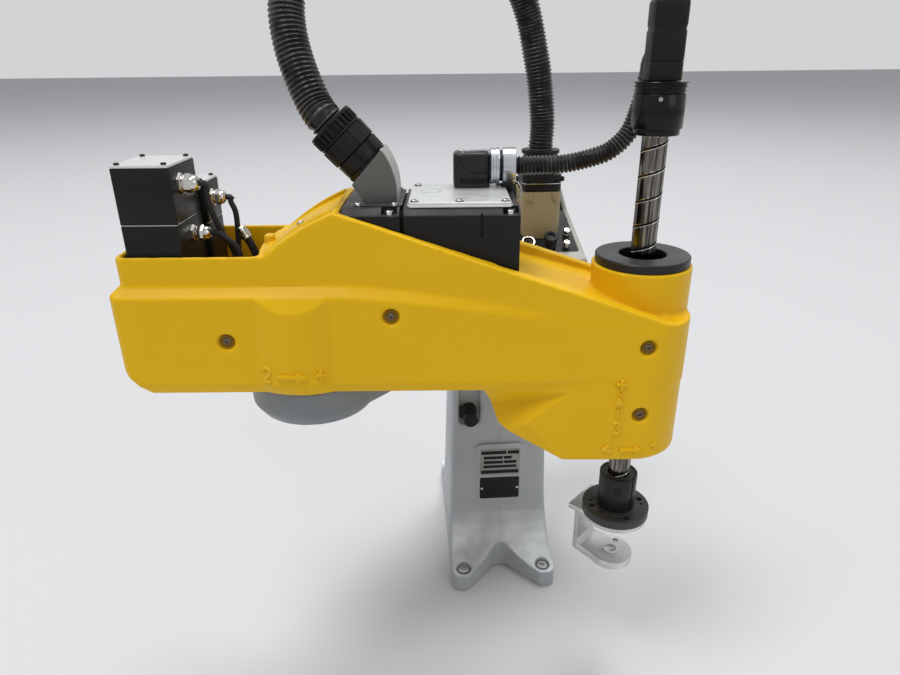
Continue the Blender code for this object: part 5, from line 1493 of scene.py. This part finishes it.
class ARM_OT_hood(bpy.types.Operator):
    """Makes the hose's hood with its lever line, the two bright bands, the boss below and the wire bail"""

    bl_idname = "arm.hood"
    bl_label = "Hood and bands"

    def execute(self, context):
        (x0, x1), (y0, y1), (z0, z1) = spans("hose_hood", FOREARM)
        body = prism(plan((x0, x1), (y0, y1), 0.007), z0, z1, 0.005, "up", FOREARM, 5)
        skirt = block((x0 + 0.0006, x1), (y0, y1), (z0, z0 + 0.012), 0.007, 0.0006, FOREARM)
        stand_in("hood_body", joined([body, skirt]), "black_anodised", "forearm", "hose_hood")
        lever = [
            (x0 + 0.006, z1 - 0.004), (x0 + 0.012, z1 - 0.016), (x0 + 0.021, z1 - 0.0225),
            (x1 - 0.001, z1 - 0.0225),
        ]
        line = strand([(x, y0, z) for x, z in lever], 0.002, 0.0009, 8)
        piece("hood_lever_line", line, "polished_black", "forearm")
        arch = [
            (x0 + 0.008, z1 - 0.0016), (x0 + 0.013, z1 - 0.0002), (x0 + 0.024, z1 + 0.0012),
            (x1 + 0.001, z1 + 0.0018),
        ]
        strip = smooth_through(
            [
                (2 * arch[0][0] - arch[1][0], 0, arch[0][1] - 0.001), *[(x, 0, z) for x, z in arch],
                (x1 + 0.012, 0, z1 + 0.0018),
            ],
            6,
        )
        edge = ((y1 - 0.013, -0.0012), (y0 + 0.011, -0.0012), (y0 + 0.011, 0.0006), (y1 - 0.013, 0.0006))
        rows = [[(x, y, z + dz) for y, dz in edge] for x, _, z in strip]
        piece("hood_lever", placed(sleeve(rows), FOREARM), "band_steel", "forearm")
        pivot = socket_screw(
            (x0 + 0.0105, (y0 + y1) / 2 - 0.001, z1 - 0.0006), (0, 0, 1), 0.0036, 0.0024, FOREARM,
        )
        piece("hood_pivot_screw", pivot, "zinc_screw", "forearm")
        (x0, x1), (y0, y1), (z0, z1) = spans("hose_clamp", FOREARM)
        middle, height, radius = (y0 + y1) / 2, (z0 + z1) / 2, (y1 - y0) / 2
        place = aimed((x0, middle, height), (1, 0, 0), FOREARM)
        first = from_rim(
            radius, 0,
            (
                (-0.001, 0.0002), (0, 0.0010), (0, 0.0030), (-0.0007, 0.0036), (-0.0007, 0.0062),
                (0, 0.0068), (0, 0.0098), (-0.001, 0.0108),
            ),
        )
        second = from_rim(
            radius, 0, ((-0.0008, 0.0142), (0.0003, 0.0150), (0.0003, 0.0290), (-0.0010, 0.0298)),
        )
        neck = from_rim(radius, 0, ((-0.0036, 0.0100), (-0.0036, 0.0150)))
        mouth = [(radius - 0.002, 0.029), (radius - 0.006, 0.0300), (0.0118, 0.0300)]
        bands = [turned(first, 56, place), turned(second, 56, place)]
        stand_in("hose_bands", joined(bands), "band_steel", "forearm", "hose_clamp")
        throat = [turned(neck, 48, place), turned(mouth, 48, place)]
        piece("hose_band_neck", joined(throat), "black_plastic", "forearm")
        rise = (spans("top_plate", FOREARM)[2][1] - 0.004, height - radius + 0.003)
        boss = block(
            (x0 + 0.015, x0 + 0.028), (middle - 0.012, middle + 0.010), rise, 0.003, 0.0008, FOREARM,
        )
        piece("band_boss", boss, "black_plastic", "forearm")
        wire = led(
            [
                (0.2465, 0.022, 0.7205), (0.2535, 0.0215, 0.7165), (0.2562, 0.021, 0.7080),
                (0.2530, 0.021, 0.6990), (0.2475, 0.021, 0.6960),
            ],
            (1, 0, 0), (-1, 0, 0), 0.002,
        )
        bail = strand(wire, 0.0012, 0.0010, 10)
        piece("wire_bail", bail, "nickel", "forearm")
        return {"FINISHED"}


# Conduits and hose


# The conduit's points up to FALL_START are in world metres, the rest and the hose's in the forearm's
# frame
CONDUIT_FOOT = (0.0685, 0.0095)
RISE_POINTS = ((0.0685, 0.0095, 0.766), (0.054, 0.0, 0.850), (0.018, -0.018, 0.950))
CROWN = (-0.095, -0.115, 1.085)
FALL_START = (-0.205, -0.205, 1.060)
FALL_POINTS = (
    (0.0080, 0.054, 0.985), (-0.0005, 0.036, 0.911), (0.0015, 0.026, 0.8758), (0.0115, 0.014, 0.8410),
    (0.0265, 0.002, 0.8080),
)
HOSE_POINTS = (
    (0.285, 0.0420, 0.7350), (0.312, 0.0430, 0.7365), (0.342, 0.0445, 0.7430), (0.362, 0.0460, 0.7505),
    (0.380, 0.0490, 0.7660), (0.3905, 0.0540, 0.7850), (0.3970, 0.0600, 0.8060),
)
CONDUIT_RADIUS, HOSE_RADIUS = 0.0199, 0.0112


def conduit_path():
    """The large conduit's line in two halves that meet at the crown."""
    clamp_top = spans("conduit_clamp")[2][1]
    foot = np.array((*CONDUIT_FOOT, clamp_top + SEAT))
    _, (near, far), (low, _) = spans("conduit_bracket", FOREARM)
    (ax, az), (bx, bz) = [(x, low + rise) for x, rise in BRACKET_RISE[:2]]
    out = np.array(FITTING_OUT) / np.linalg.norm(FITTING_OUT)
    middle = np.array(((ax + bx) / 2, (near + far) / 2, (az + bz) / 2))
    end = moved([middle + out * (FITTING_LENGTH - 0.001)], FOREARM)[0]
    points = [foot, *RISE_POINTS, CROWN, FALL_START, *moved(FALL_POINTS, FOREARM), end]
    route = led(points, (0, 0, 1), -(FOREARM[:3, :3] @ out))
    split = int(np.argmin(np.linalg.norm(route - np.array(CROWN), axis=1)))
    return route[: split + 1], route[split:]


def corrugated(path, radius, pitch, depth, sides, across, samples=8, narrow=1.6):
    """Pipe whose radius swells to a narrow crest once every pitch."""
    path = even(path, pitch / samples)
    return pipe(path, ribbed(path, radius, pitch, depth, narrow), sides, across)


def bent(name, skin, look, slot, first, second, start, end):
    """A piece fixed in world metres that takes a CAD node's place."""
    thing = linked(name, mesh_of(name, skin))
    finished(thing, look)
    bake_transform(thing)
    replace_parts(thing, slot)


class ARM_OT_conduits(bpy.types.Operator):
    """Makes the large corrugated conduit in two halves and the small hose to the quill's head"""

    bl_idname = "arm.conduits"
    bl_label = "Conduits"

    def execute(self, context):
        sizes = context.scene.arm_sizes
        rise, fall = conduit_path()
        square = np.cross(fall[-1] - rise[0], (0, 0, 1))
        for name, line, first, second in (
            ("conduit_rise", rise, "base", "inner_arm"), ("conduit_fall", fall, "inner_arm", "forearm"),
        ):
            skin = corrugated(line, CONDUIT_RADIUS, sizes.conduit_pitch, sizes.conduit_depth, 40, square)
            bent(name + "_ribbed", skin, "conduit_plastic", name, first, second, line[0], line[-1])
        start = moved([(spans("hose_clamp", FOREARM)[0][1] + SEAT, 0.0415, 0.7345)], FOREARM)[0]
        mouth, along = outlet()
        points = [start, *moved(HOSE_POINTS, FOREARM), mouth]
        route = led(points, FOREARM[:3, :3] @ (1, 0, 0), -along)
        across = FOREARM[:3, :3] @ (0.1, 1, -0.1)
        skin = corrugated(route, HOSE_RADIUS, sizes.hose_pitch, sizes.hose_depth, 32, across, narrow=1.2)
        ends = (route[0], route[-1])
        bent("quill_hose_ribbed", skin, "conduit_plastic", "quill_hose", "forearm", "quill_head", *ends)
        return {"FINISHED"}


# The hose outlet in the quill's frame: its direction, its length and its root over the collar
OUTLET_DIRECTION = (0, 0.82, -0.57)
OUTLET_LENGTH, OUTLET_RISE = 0.0523, 0.042


def outlet():
    """Mouth of the hose outlet on the quill's head and the outlet's outward direction, in world metres."""
    along = np.array(OUTLET_DIRECTION) / np.linalg.norm(OUTLET_DIRECTION)
    root = np.array((0, 0, spans("head_collar")[2][1] + OUTLET_RISE))
    return moved([root + along * OUTLET_LENGTH], QUILL)[0], QUILL[:3, :3] @ along


# Quill and tool


def groove(part, width):
    """Depth share across a groove: a raised cosine where a fraction of a turn is within the width of a
    whole number, else none."""
    gap = np.abs((part + 0.5) % 1 - 0.5) / width
    return np.where(gap < 1, 0.5 + 0.5 * np.cos(math.pi * gap), 0)


# The head collar's section as offsets from its rim's foot and top, and the places of the screw's
# lengthwise grooves in shares of a turn
COLLAR_FOOT = ((-0.0034, 0), (-0.0028, 0.0006), (-0.0028, 0.0062), (-0.0010, 0.0068), (-0.0004, 0.0074))
COLLAR_TOP = (
    (-0.0004, -0.0128), (-0.0008, -0.0124), (-0.0022, -0.0120), (-0.0022, -0.0104), (-0.0002, -0.0100),
    (0, -0.0096), (-0.0002, -0.0092), (-0.0020, -0.0088), (-0.0020, -0.0064), (0, -0.0060),
    (0.0002, -0.0055), (0, -0.0050), (-0.0012, -0.0046), (-0.0012, -0.0020), (0.0010, -0.0014),
    (0.0014, -0.0008), (0.0010, -0.0002), (-0.0010, 0),
)
FLUTES = (0.02, 0.13, 0.24, 0.40, 0.52, 0.672, 0.765, 0.897)


class ARM_OT_quill(bpy.types.Operator):
    """Makes the splined and grooved quill shaft, its ring, collar and head"""

    bl_idname = "arm.quill"
    bl_label = "Quill"

    def execute(self, context):
        sizes = context.scene.arm_sizes
        (x0, x1), _, (z0, z1) = spans("quill_shaft", QUILL)
        radius = (x1 - x0) / 2 + 0.0017
        angle = np.linspace(0, TURN, 120, endpoint=False)[None, :]
        level = np.arange(z0, z1, 0.0009)[:, None]
        flutes = [groove(angle / TURN - part, 0.026) for part in FLUTES]
        depth = sizes.spline_depth * np.maximum.reduce(flutes)
        spiral = sizes.screw_depth * groove(angle / TURN - level / sizes.screw_lead, 0.050)
        reach = radius - np.maximum(depth, spiral)
        rows = about_axis(reach, angle, level)
        stand_in("splined_shaft", placed(sleeve(rows), QUILL), "steel", "tool", "quill_shaft", 60)
        # A dark strip in the helical groove is painted shade, a bright one along its lower edge a painted
        # highlight
        turns = np.arange(z0 + 0.002, z1 - 0.002, 0.0006)
        for name, shift, inset, thick, look in (
            ("groove_shade", 0.0, 0.0008, 0.0011, "dark_recess"),
            ("groove_lip", -0.0017, 0.0003, 0.0005, "nickel"),
        ):
            swing = TURN * (turns - shift) / sizes.screw_lead
            helix = about_axis(radius - inset, swing, turns)
            piece(name, placed(pipe(helix, thick, 6), QUILL), look, "tool")
        (x0, x1), _, (z0, z1) = spans("quill_ring", QUILL)
        r = (x1 - x0) / 2
        bore = 0.0276
        ring = [
            (r - 0.001, z0), (r, z0 + 0.0008), (r, z1 - 0.0010), (r - 0.0010, z1), (bore + 0.0006, z1),
            (bore, z1 - 0.0006), (bore, z0),
        ]
        ring = turned(ring, 96, QUILL, ring=True)
        stand_in("wiper_ring", ring, "black_anodised", "forearm", "quill_ring")
        # Painted sheen: a grey disc on the black ring's top
        face = [
            (r - 0.0014, z1 - 0.0004), (r - 0.0018, z1 + 0.0002), (bore + 0.0014, z1 + 0.0002),
            (bore + 0.0010, z1 - 0.0004),
        ]
        face = turned(face, 96, QUILL, ring=True)
        piece("wiper_ring_face", face, "cap_grey", "forearm")
        # Painted shade: a dark cup in the ring's bore
        well = [
            (bore + 0.0004, z0 + 0.004), (bore + 0.0004, z0 - 0.060), (0.0150, z0 - 0.060),
            (0.0150, z0 - 0.0585), (bore - 0.0004, z0 - 0.0585), (bore - 0.0004, z0 + 0.004),
        ]
        piece("bore_lining", turned(well, 64, QUILL, ring=True), "dark_recess", "forearm")
        (x0, x1), _, (z0, z1) = spans("head_collar", QUILL)
        r = (x1 - x0) / 2
        profile = [(0.0148, z0), *from_rim(r, z0, COLLAR_FOOT), *from_rim(r, z1, COLLAR_TOP)]
        collar = turned(profile, 112, QUILL)
        stand_in("grooved_collar", collar, "polished_black", "quill_head", "head_collar", 50)
        spot = np.array((-0.0065, -math.sqrt((r - 0.0004) ** 2 - 0.0065**2), z1 - 0.0170))
        out = spot * (1, 1, 0)
        rim = [(0.0022, 0), (0.0022, 0.0006), (0.0015, 0.0006), (0.0015, 0)]
        rim = turned(rim, 20, aimed(spot, out, QUILL), ring=True)
        screw = joined([socket_screw(spot, out, 0.0014, 0.0004, QUILL, 0.6, 0.3), rim])
        piece("collar_set_screw", screw, "zinc_screw", "quill_head")
        high = spans("head_elbow", QUILL)[2][1]
        foot, half = z1 + SEAT, 0.0178
        seams = [foot, foot + 0.0190, foot + 0.0490, high]
        section = plan((-half, half), (-half, half), 0.0075)
        blocks = []
        for a, b, top in zip(seams, seams[1:], (0.0008, 0.0008, 0.0055)):
            blocks.append(prism(section, a + 0.0002, b - 0.0004, top, "up", QUILL, 4))
        core = block(
            (-half + 0.001, half - 0.001), (-half + 0.001, half - 0.001), (foot + 0.001, high - 0.007),
            0.006, 0.0004, QUILL,
        )
        mouth, along = outlet()
        root = mouth - along * OUTLET_LENGTH
        spout = [
            (0.0118, 0.004), (0.0130, 0.010), (0.0130, 0.0300), (0.0138, 0.0306), (0.0138, 0.0420),
            (0.0130, 0.0430), (0.0130, 0.0500), (0.0120, 0.0520),
        ]
        blocks += [core, turned(spout, 40, aimed(root, along))]
        stand_in("swivel_head", joined(blocks), "black_plastic", "quill_head", "head_elbow")
        disc = block(
            (half - 0.001, half + 0.0052), (-0.0045, 0.0045), (foot + 0.0185, foot + 0.0200), 0.0030,
            0.0005, QUILL,
        )
        piece("head_latch_plate", disc, "nickel", "quill_head")
        stud = [(0.0024, 0), (0.0024, 0.0060), (0.0018, 0.0064), (0.0018, 0.0110), (0.0012, 0.0114)]
        stud = turned(stud, 20, aimed((half + 0.0016, -0.001, foot + 0.0012), (0, 0, 1), QUILL))
        piece("head_stud", stud, "brass", "quill_head")
        return {"FINISHED"}


# Radius of the wire mesh in the bracket's bore
MESH_REACH = 0.0078


class ARM_OT_tool(bpy.types.Operator):
    """Softens the flange, split hub and tool bracket, and adds their screws and the bore's mesh"""

    bl_idname = "arm.tool"
    bl_label = "Tool"

    def execute(self, context):
        crisp("clamp_hub", "split_hub", "black_anodised", 0.0008)
        crisp("tool_flange", "drilled_flange", "cap_grey", 0.0007)
        crisp("tool_bracket", "bent_bracket", "brushed_aluminium", 0.0008)
        top = spans("clamp_hub")[2][1]
        # Painted sheen: a grey ring on the black hub's top
        lip = [
            (0.0234, top - 0.0040), (0.0234, top - 0.0008), (0.0146, top - 0.0008), (0.0146, top - 0.0040),
        ]
        piece("hub_top_ring", turned(lip, 64, QUILL, ring=True), "cap_grey", "tool")
        turn = math.radians(-102)
        out = np.array((math.cos(turn), math.sin(turn), 0))
        place = aimed(out * 0.0252 + (0, 0, top - 0.017), out, QUILL)
        ring = lathe(
            [(0.0052, -0.004), (0.0052, 0.0004), (0.0046, 0.0004), (0.0046, -0.004)], 32, ring=True,
        )
        piece("hub_screw_rim", placed(ring, place), "black_screw", "tool")
        head = [
            (0.0044, -0.001), (0.0044, 0.0001), (0.0040, 0.0003), (0.0022, 0.0003, 6), (0.0022, -0.0006, 6),
        ]
        piece("hub_screw", turned(head, 24, place), "black_screw", "tool")
        floor = 0.198
        rim = [
            (0.0104, floor + 0.0014), (0.0104, floor + 0.0022), (0.0098, floor + 0.0026),
            (0.0086, floor + 0.0026), (0.0082, floor + 0.0020), (0.0082, floor + 0.0014),
        ]
        piece("boss_ring", turned(rim, 48, QUILL, ring=True), "brushed_aluminium", "tool")
        chords = [
            (step, math.sqrt(MESH_REACH**2 - step * step))
            for step in np.linspace(-0.0072, 0.0072, 9)
        ]
        ends = [((x, -y, floor - 0.001), (x, y, floor - 0.001)) for x, y in chords]
        ends += [((-x, y, floor - 0.0004), (x, y, floor - 0.0004)) for y, x in chords]
        wires = [pipe(even(pair, 0.004), 0.00035, 6) for pair in ends]
        piece("bore_mesh", placed(joined(wires), QUILL), "steel", "tool")
        return {"FINISHED"}


# Nodes that keep their shape


PLAIN = {
    "connector_panel": "black_plastic",
    "shoulder_cap": "black_anodised",
    "elbow_turntable": "black_anodised",
    "base_side_connector": "black_plastic",
}


class ARM_OT_kept_nodes(bpy.types.Operator):
    """Gives the pieces that keep their CAD shape their finish"""

    bl_idname = "arm.kept_nodes"
    bl_label = "Kept pieces"

    def execute(self, context):
        for node, look in PLAIN.items():
            thing = frame["nodes"][node]
            thing.data.materials.clear()
            thing.data.materials.append(material(look))
        return {"FINISHED"}


# Stage


# Half the floor's side, and the camera's place with its heading, tilt and roll in degrees
FLOOR_HALF = 30.0
VIEW_PLACE = (-0.1486, -1.0658, 0.858)
VIEW_ANGLES = (-3.75, 90 - 23.2, -0.5)


def lamp(name, place, target, size, power, tint=(1, 1, 1)):
    """A soft square lamp that looks at a target."""
    light = bpy.data.lights.new(name, "AREA")
    light.shape = "SQUARE"
    light.size = size
    light.energy = power
    light.color = tint
    thing = linked(name, light)
    thing.location = place
    thing.rotation_euler = (Vector(target) - Vector(place)).to_track_quat("-Z", "Y").to_euler()


def backdrop_share(tree):
    """One where a camera, glossy or transmission ray asks, so that the background shows plain white
    there."""
    rays = add(tree, "ShaderNodeLightPath").outputs
    either = computed(tree, "MAXIMUM", rays["Is Camera Ray"], rays["Is Glossy Ray"])
    return computed(tree, "MAXIMUM", either, rays["Is Transmission Ray"])


class ARM_OT_stage(bpy.types.Operator):
    """Sets up the pale floor, the soft studio light and the camera at the photograph's viewing angle"""

    bl_idname = "arm.stage"
    bl_label = "Stage"

    def execute(self, context):
        scene = context.scene
        scene.view_settings.view_transform = "Standard"
        floor = bpy.data.meshes.new("floor")
        corners = [(FLOOR_HALF * x, FLOOR_HALF * y, 0) for x, y in ((-1, -1), (1, -1), (1, 1), (-1, 1))]
        floor.from_pydata(corners, [], [(0, 1, 2, 3)])
        ground = linked("floor", floor)
        look = bpy.data.materials.new("pale_floor")
        look.use_nodes = True
        inputs = look.node_tree.nodes["Principled BSDF"].inputs
        inputs["Base Color"].default_value = (0.62, 0.62, 0.63, 1)
        inputs["Roughness"].default_value = 0.9
        floor.materials.append(look)
        world = bpy.data.worlds.new("studio")
        scene.world = world
        world.use_nodes = True
        tree = world.node_tree
        tree.nodes.clear()
        soft = add(tree, "ShaderNodeBackground", {"Color": (0.95, 0.97, 1.0, 1), "Strength": 0.42})
        plain = add(tree, "ShaderNodeBackground", {"Color": (0.64, 0.65, 0.66, 1), "Strength": 1.0})
        both = add(
            tree, "ShaderNodeMixShader", {0: backdrop_share(tree), 1: soft.outputs[0], 2: plain.outputs[0]},
        )
        add(tree, "ShaderNodeOutputWorld", {"Surface": both.outputs[0]})
        lamp("key", (-3.5, -2.5, 10.0), (-0.1, -0.25, 0.55), 3.5, 460)
        lamp("fill", (6.0, -7.0, 5.0), (0, -0.25, 0.5), 5.0, 100)
        lamp("top", (1.0, 2.5, 9.5), (-0.1, -0.2, 0.6), 4.0, 480)
        camera = bpy.data.cameras.new("view")
        camera.lens = 26.6
        camera.sensor_width = 36
        camera.clip_end = 100
        eye = linked("view", camera)
        heading, tilt, roll = (math.radians(angle) for angle in VIEW_ANGLES)
        turn = Matrix.Rotation(heading, 4, "Z") @ Matrix.Rotation(tilt, 4, "X")
        eye.matrix_world = Matrix.Translation(VIEW_PLACE) @ turn @ Matrix.Rotation(roll, 4, "Z")
        scene.camera = eye
        return {"FINISHED"}


# Panel and start


OPERATORS = (
    ARM_OT_castings, ARM_OT_marks, ARM_OT_base_details, ARM_OT_console, ARM_OT_motors, ARM_OT_deck,
    ARM_OT_conduit_bracket, ARM_OT_hood, ARM_OT_conduits, ARM_OT_quill, ARM_OT_tool, ARM_OT_kept_nodes,
    ARM_OT_stage,
)


class ARM_PT_looks(bpy.types.Panel):
    """The arm's pieces, colours and sizes"""

    bl_idname = "ARM_PT_looks"
    bl_label = "Robot arm looks"
    bl_space_type = "VIEW_3D"
    bl_region_type = "UI"
    bl_category = "Robot Arm"

    def draw(self, context):
        layout = self.layout
        for operator in OPERATORS:
            layout.operator(operator.bl_idname)
        for group in (context.scene.arm_colours, context.scene.arm_sizes):
            for key in group.__annotations__:
                layout.prop(group, key)


CLASSES = (ArmColours, ArmSizes, *OPERATORS, ARM_PT_looks)


def register():
    for kind in CLASSES:
        bpy.utils.register_class(kind)
    bpy.types.Scene.arm_colours = bpy.props.PointerProperty(type=ArmColours)
    bpy.types.Scene.arm_sizes = bpy.props.PointerProperty(type=ArmSizes)


def unregister():
    del bpy.types.Scene.arm_sizes
    del bpy.types.Scene.arm_colours
    for kind in reversed(CLASSES):
        bpy.utils.unregister_class(kind)


def main():
    """Registers the add-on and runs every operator."""
    register()
    for operator in OPERATORS:
        area, name = operator.bl_idname.split(".")
        getattr(getattr(bpy.ops, area), name)()


if __name__ == "__main__":
    main()
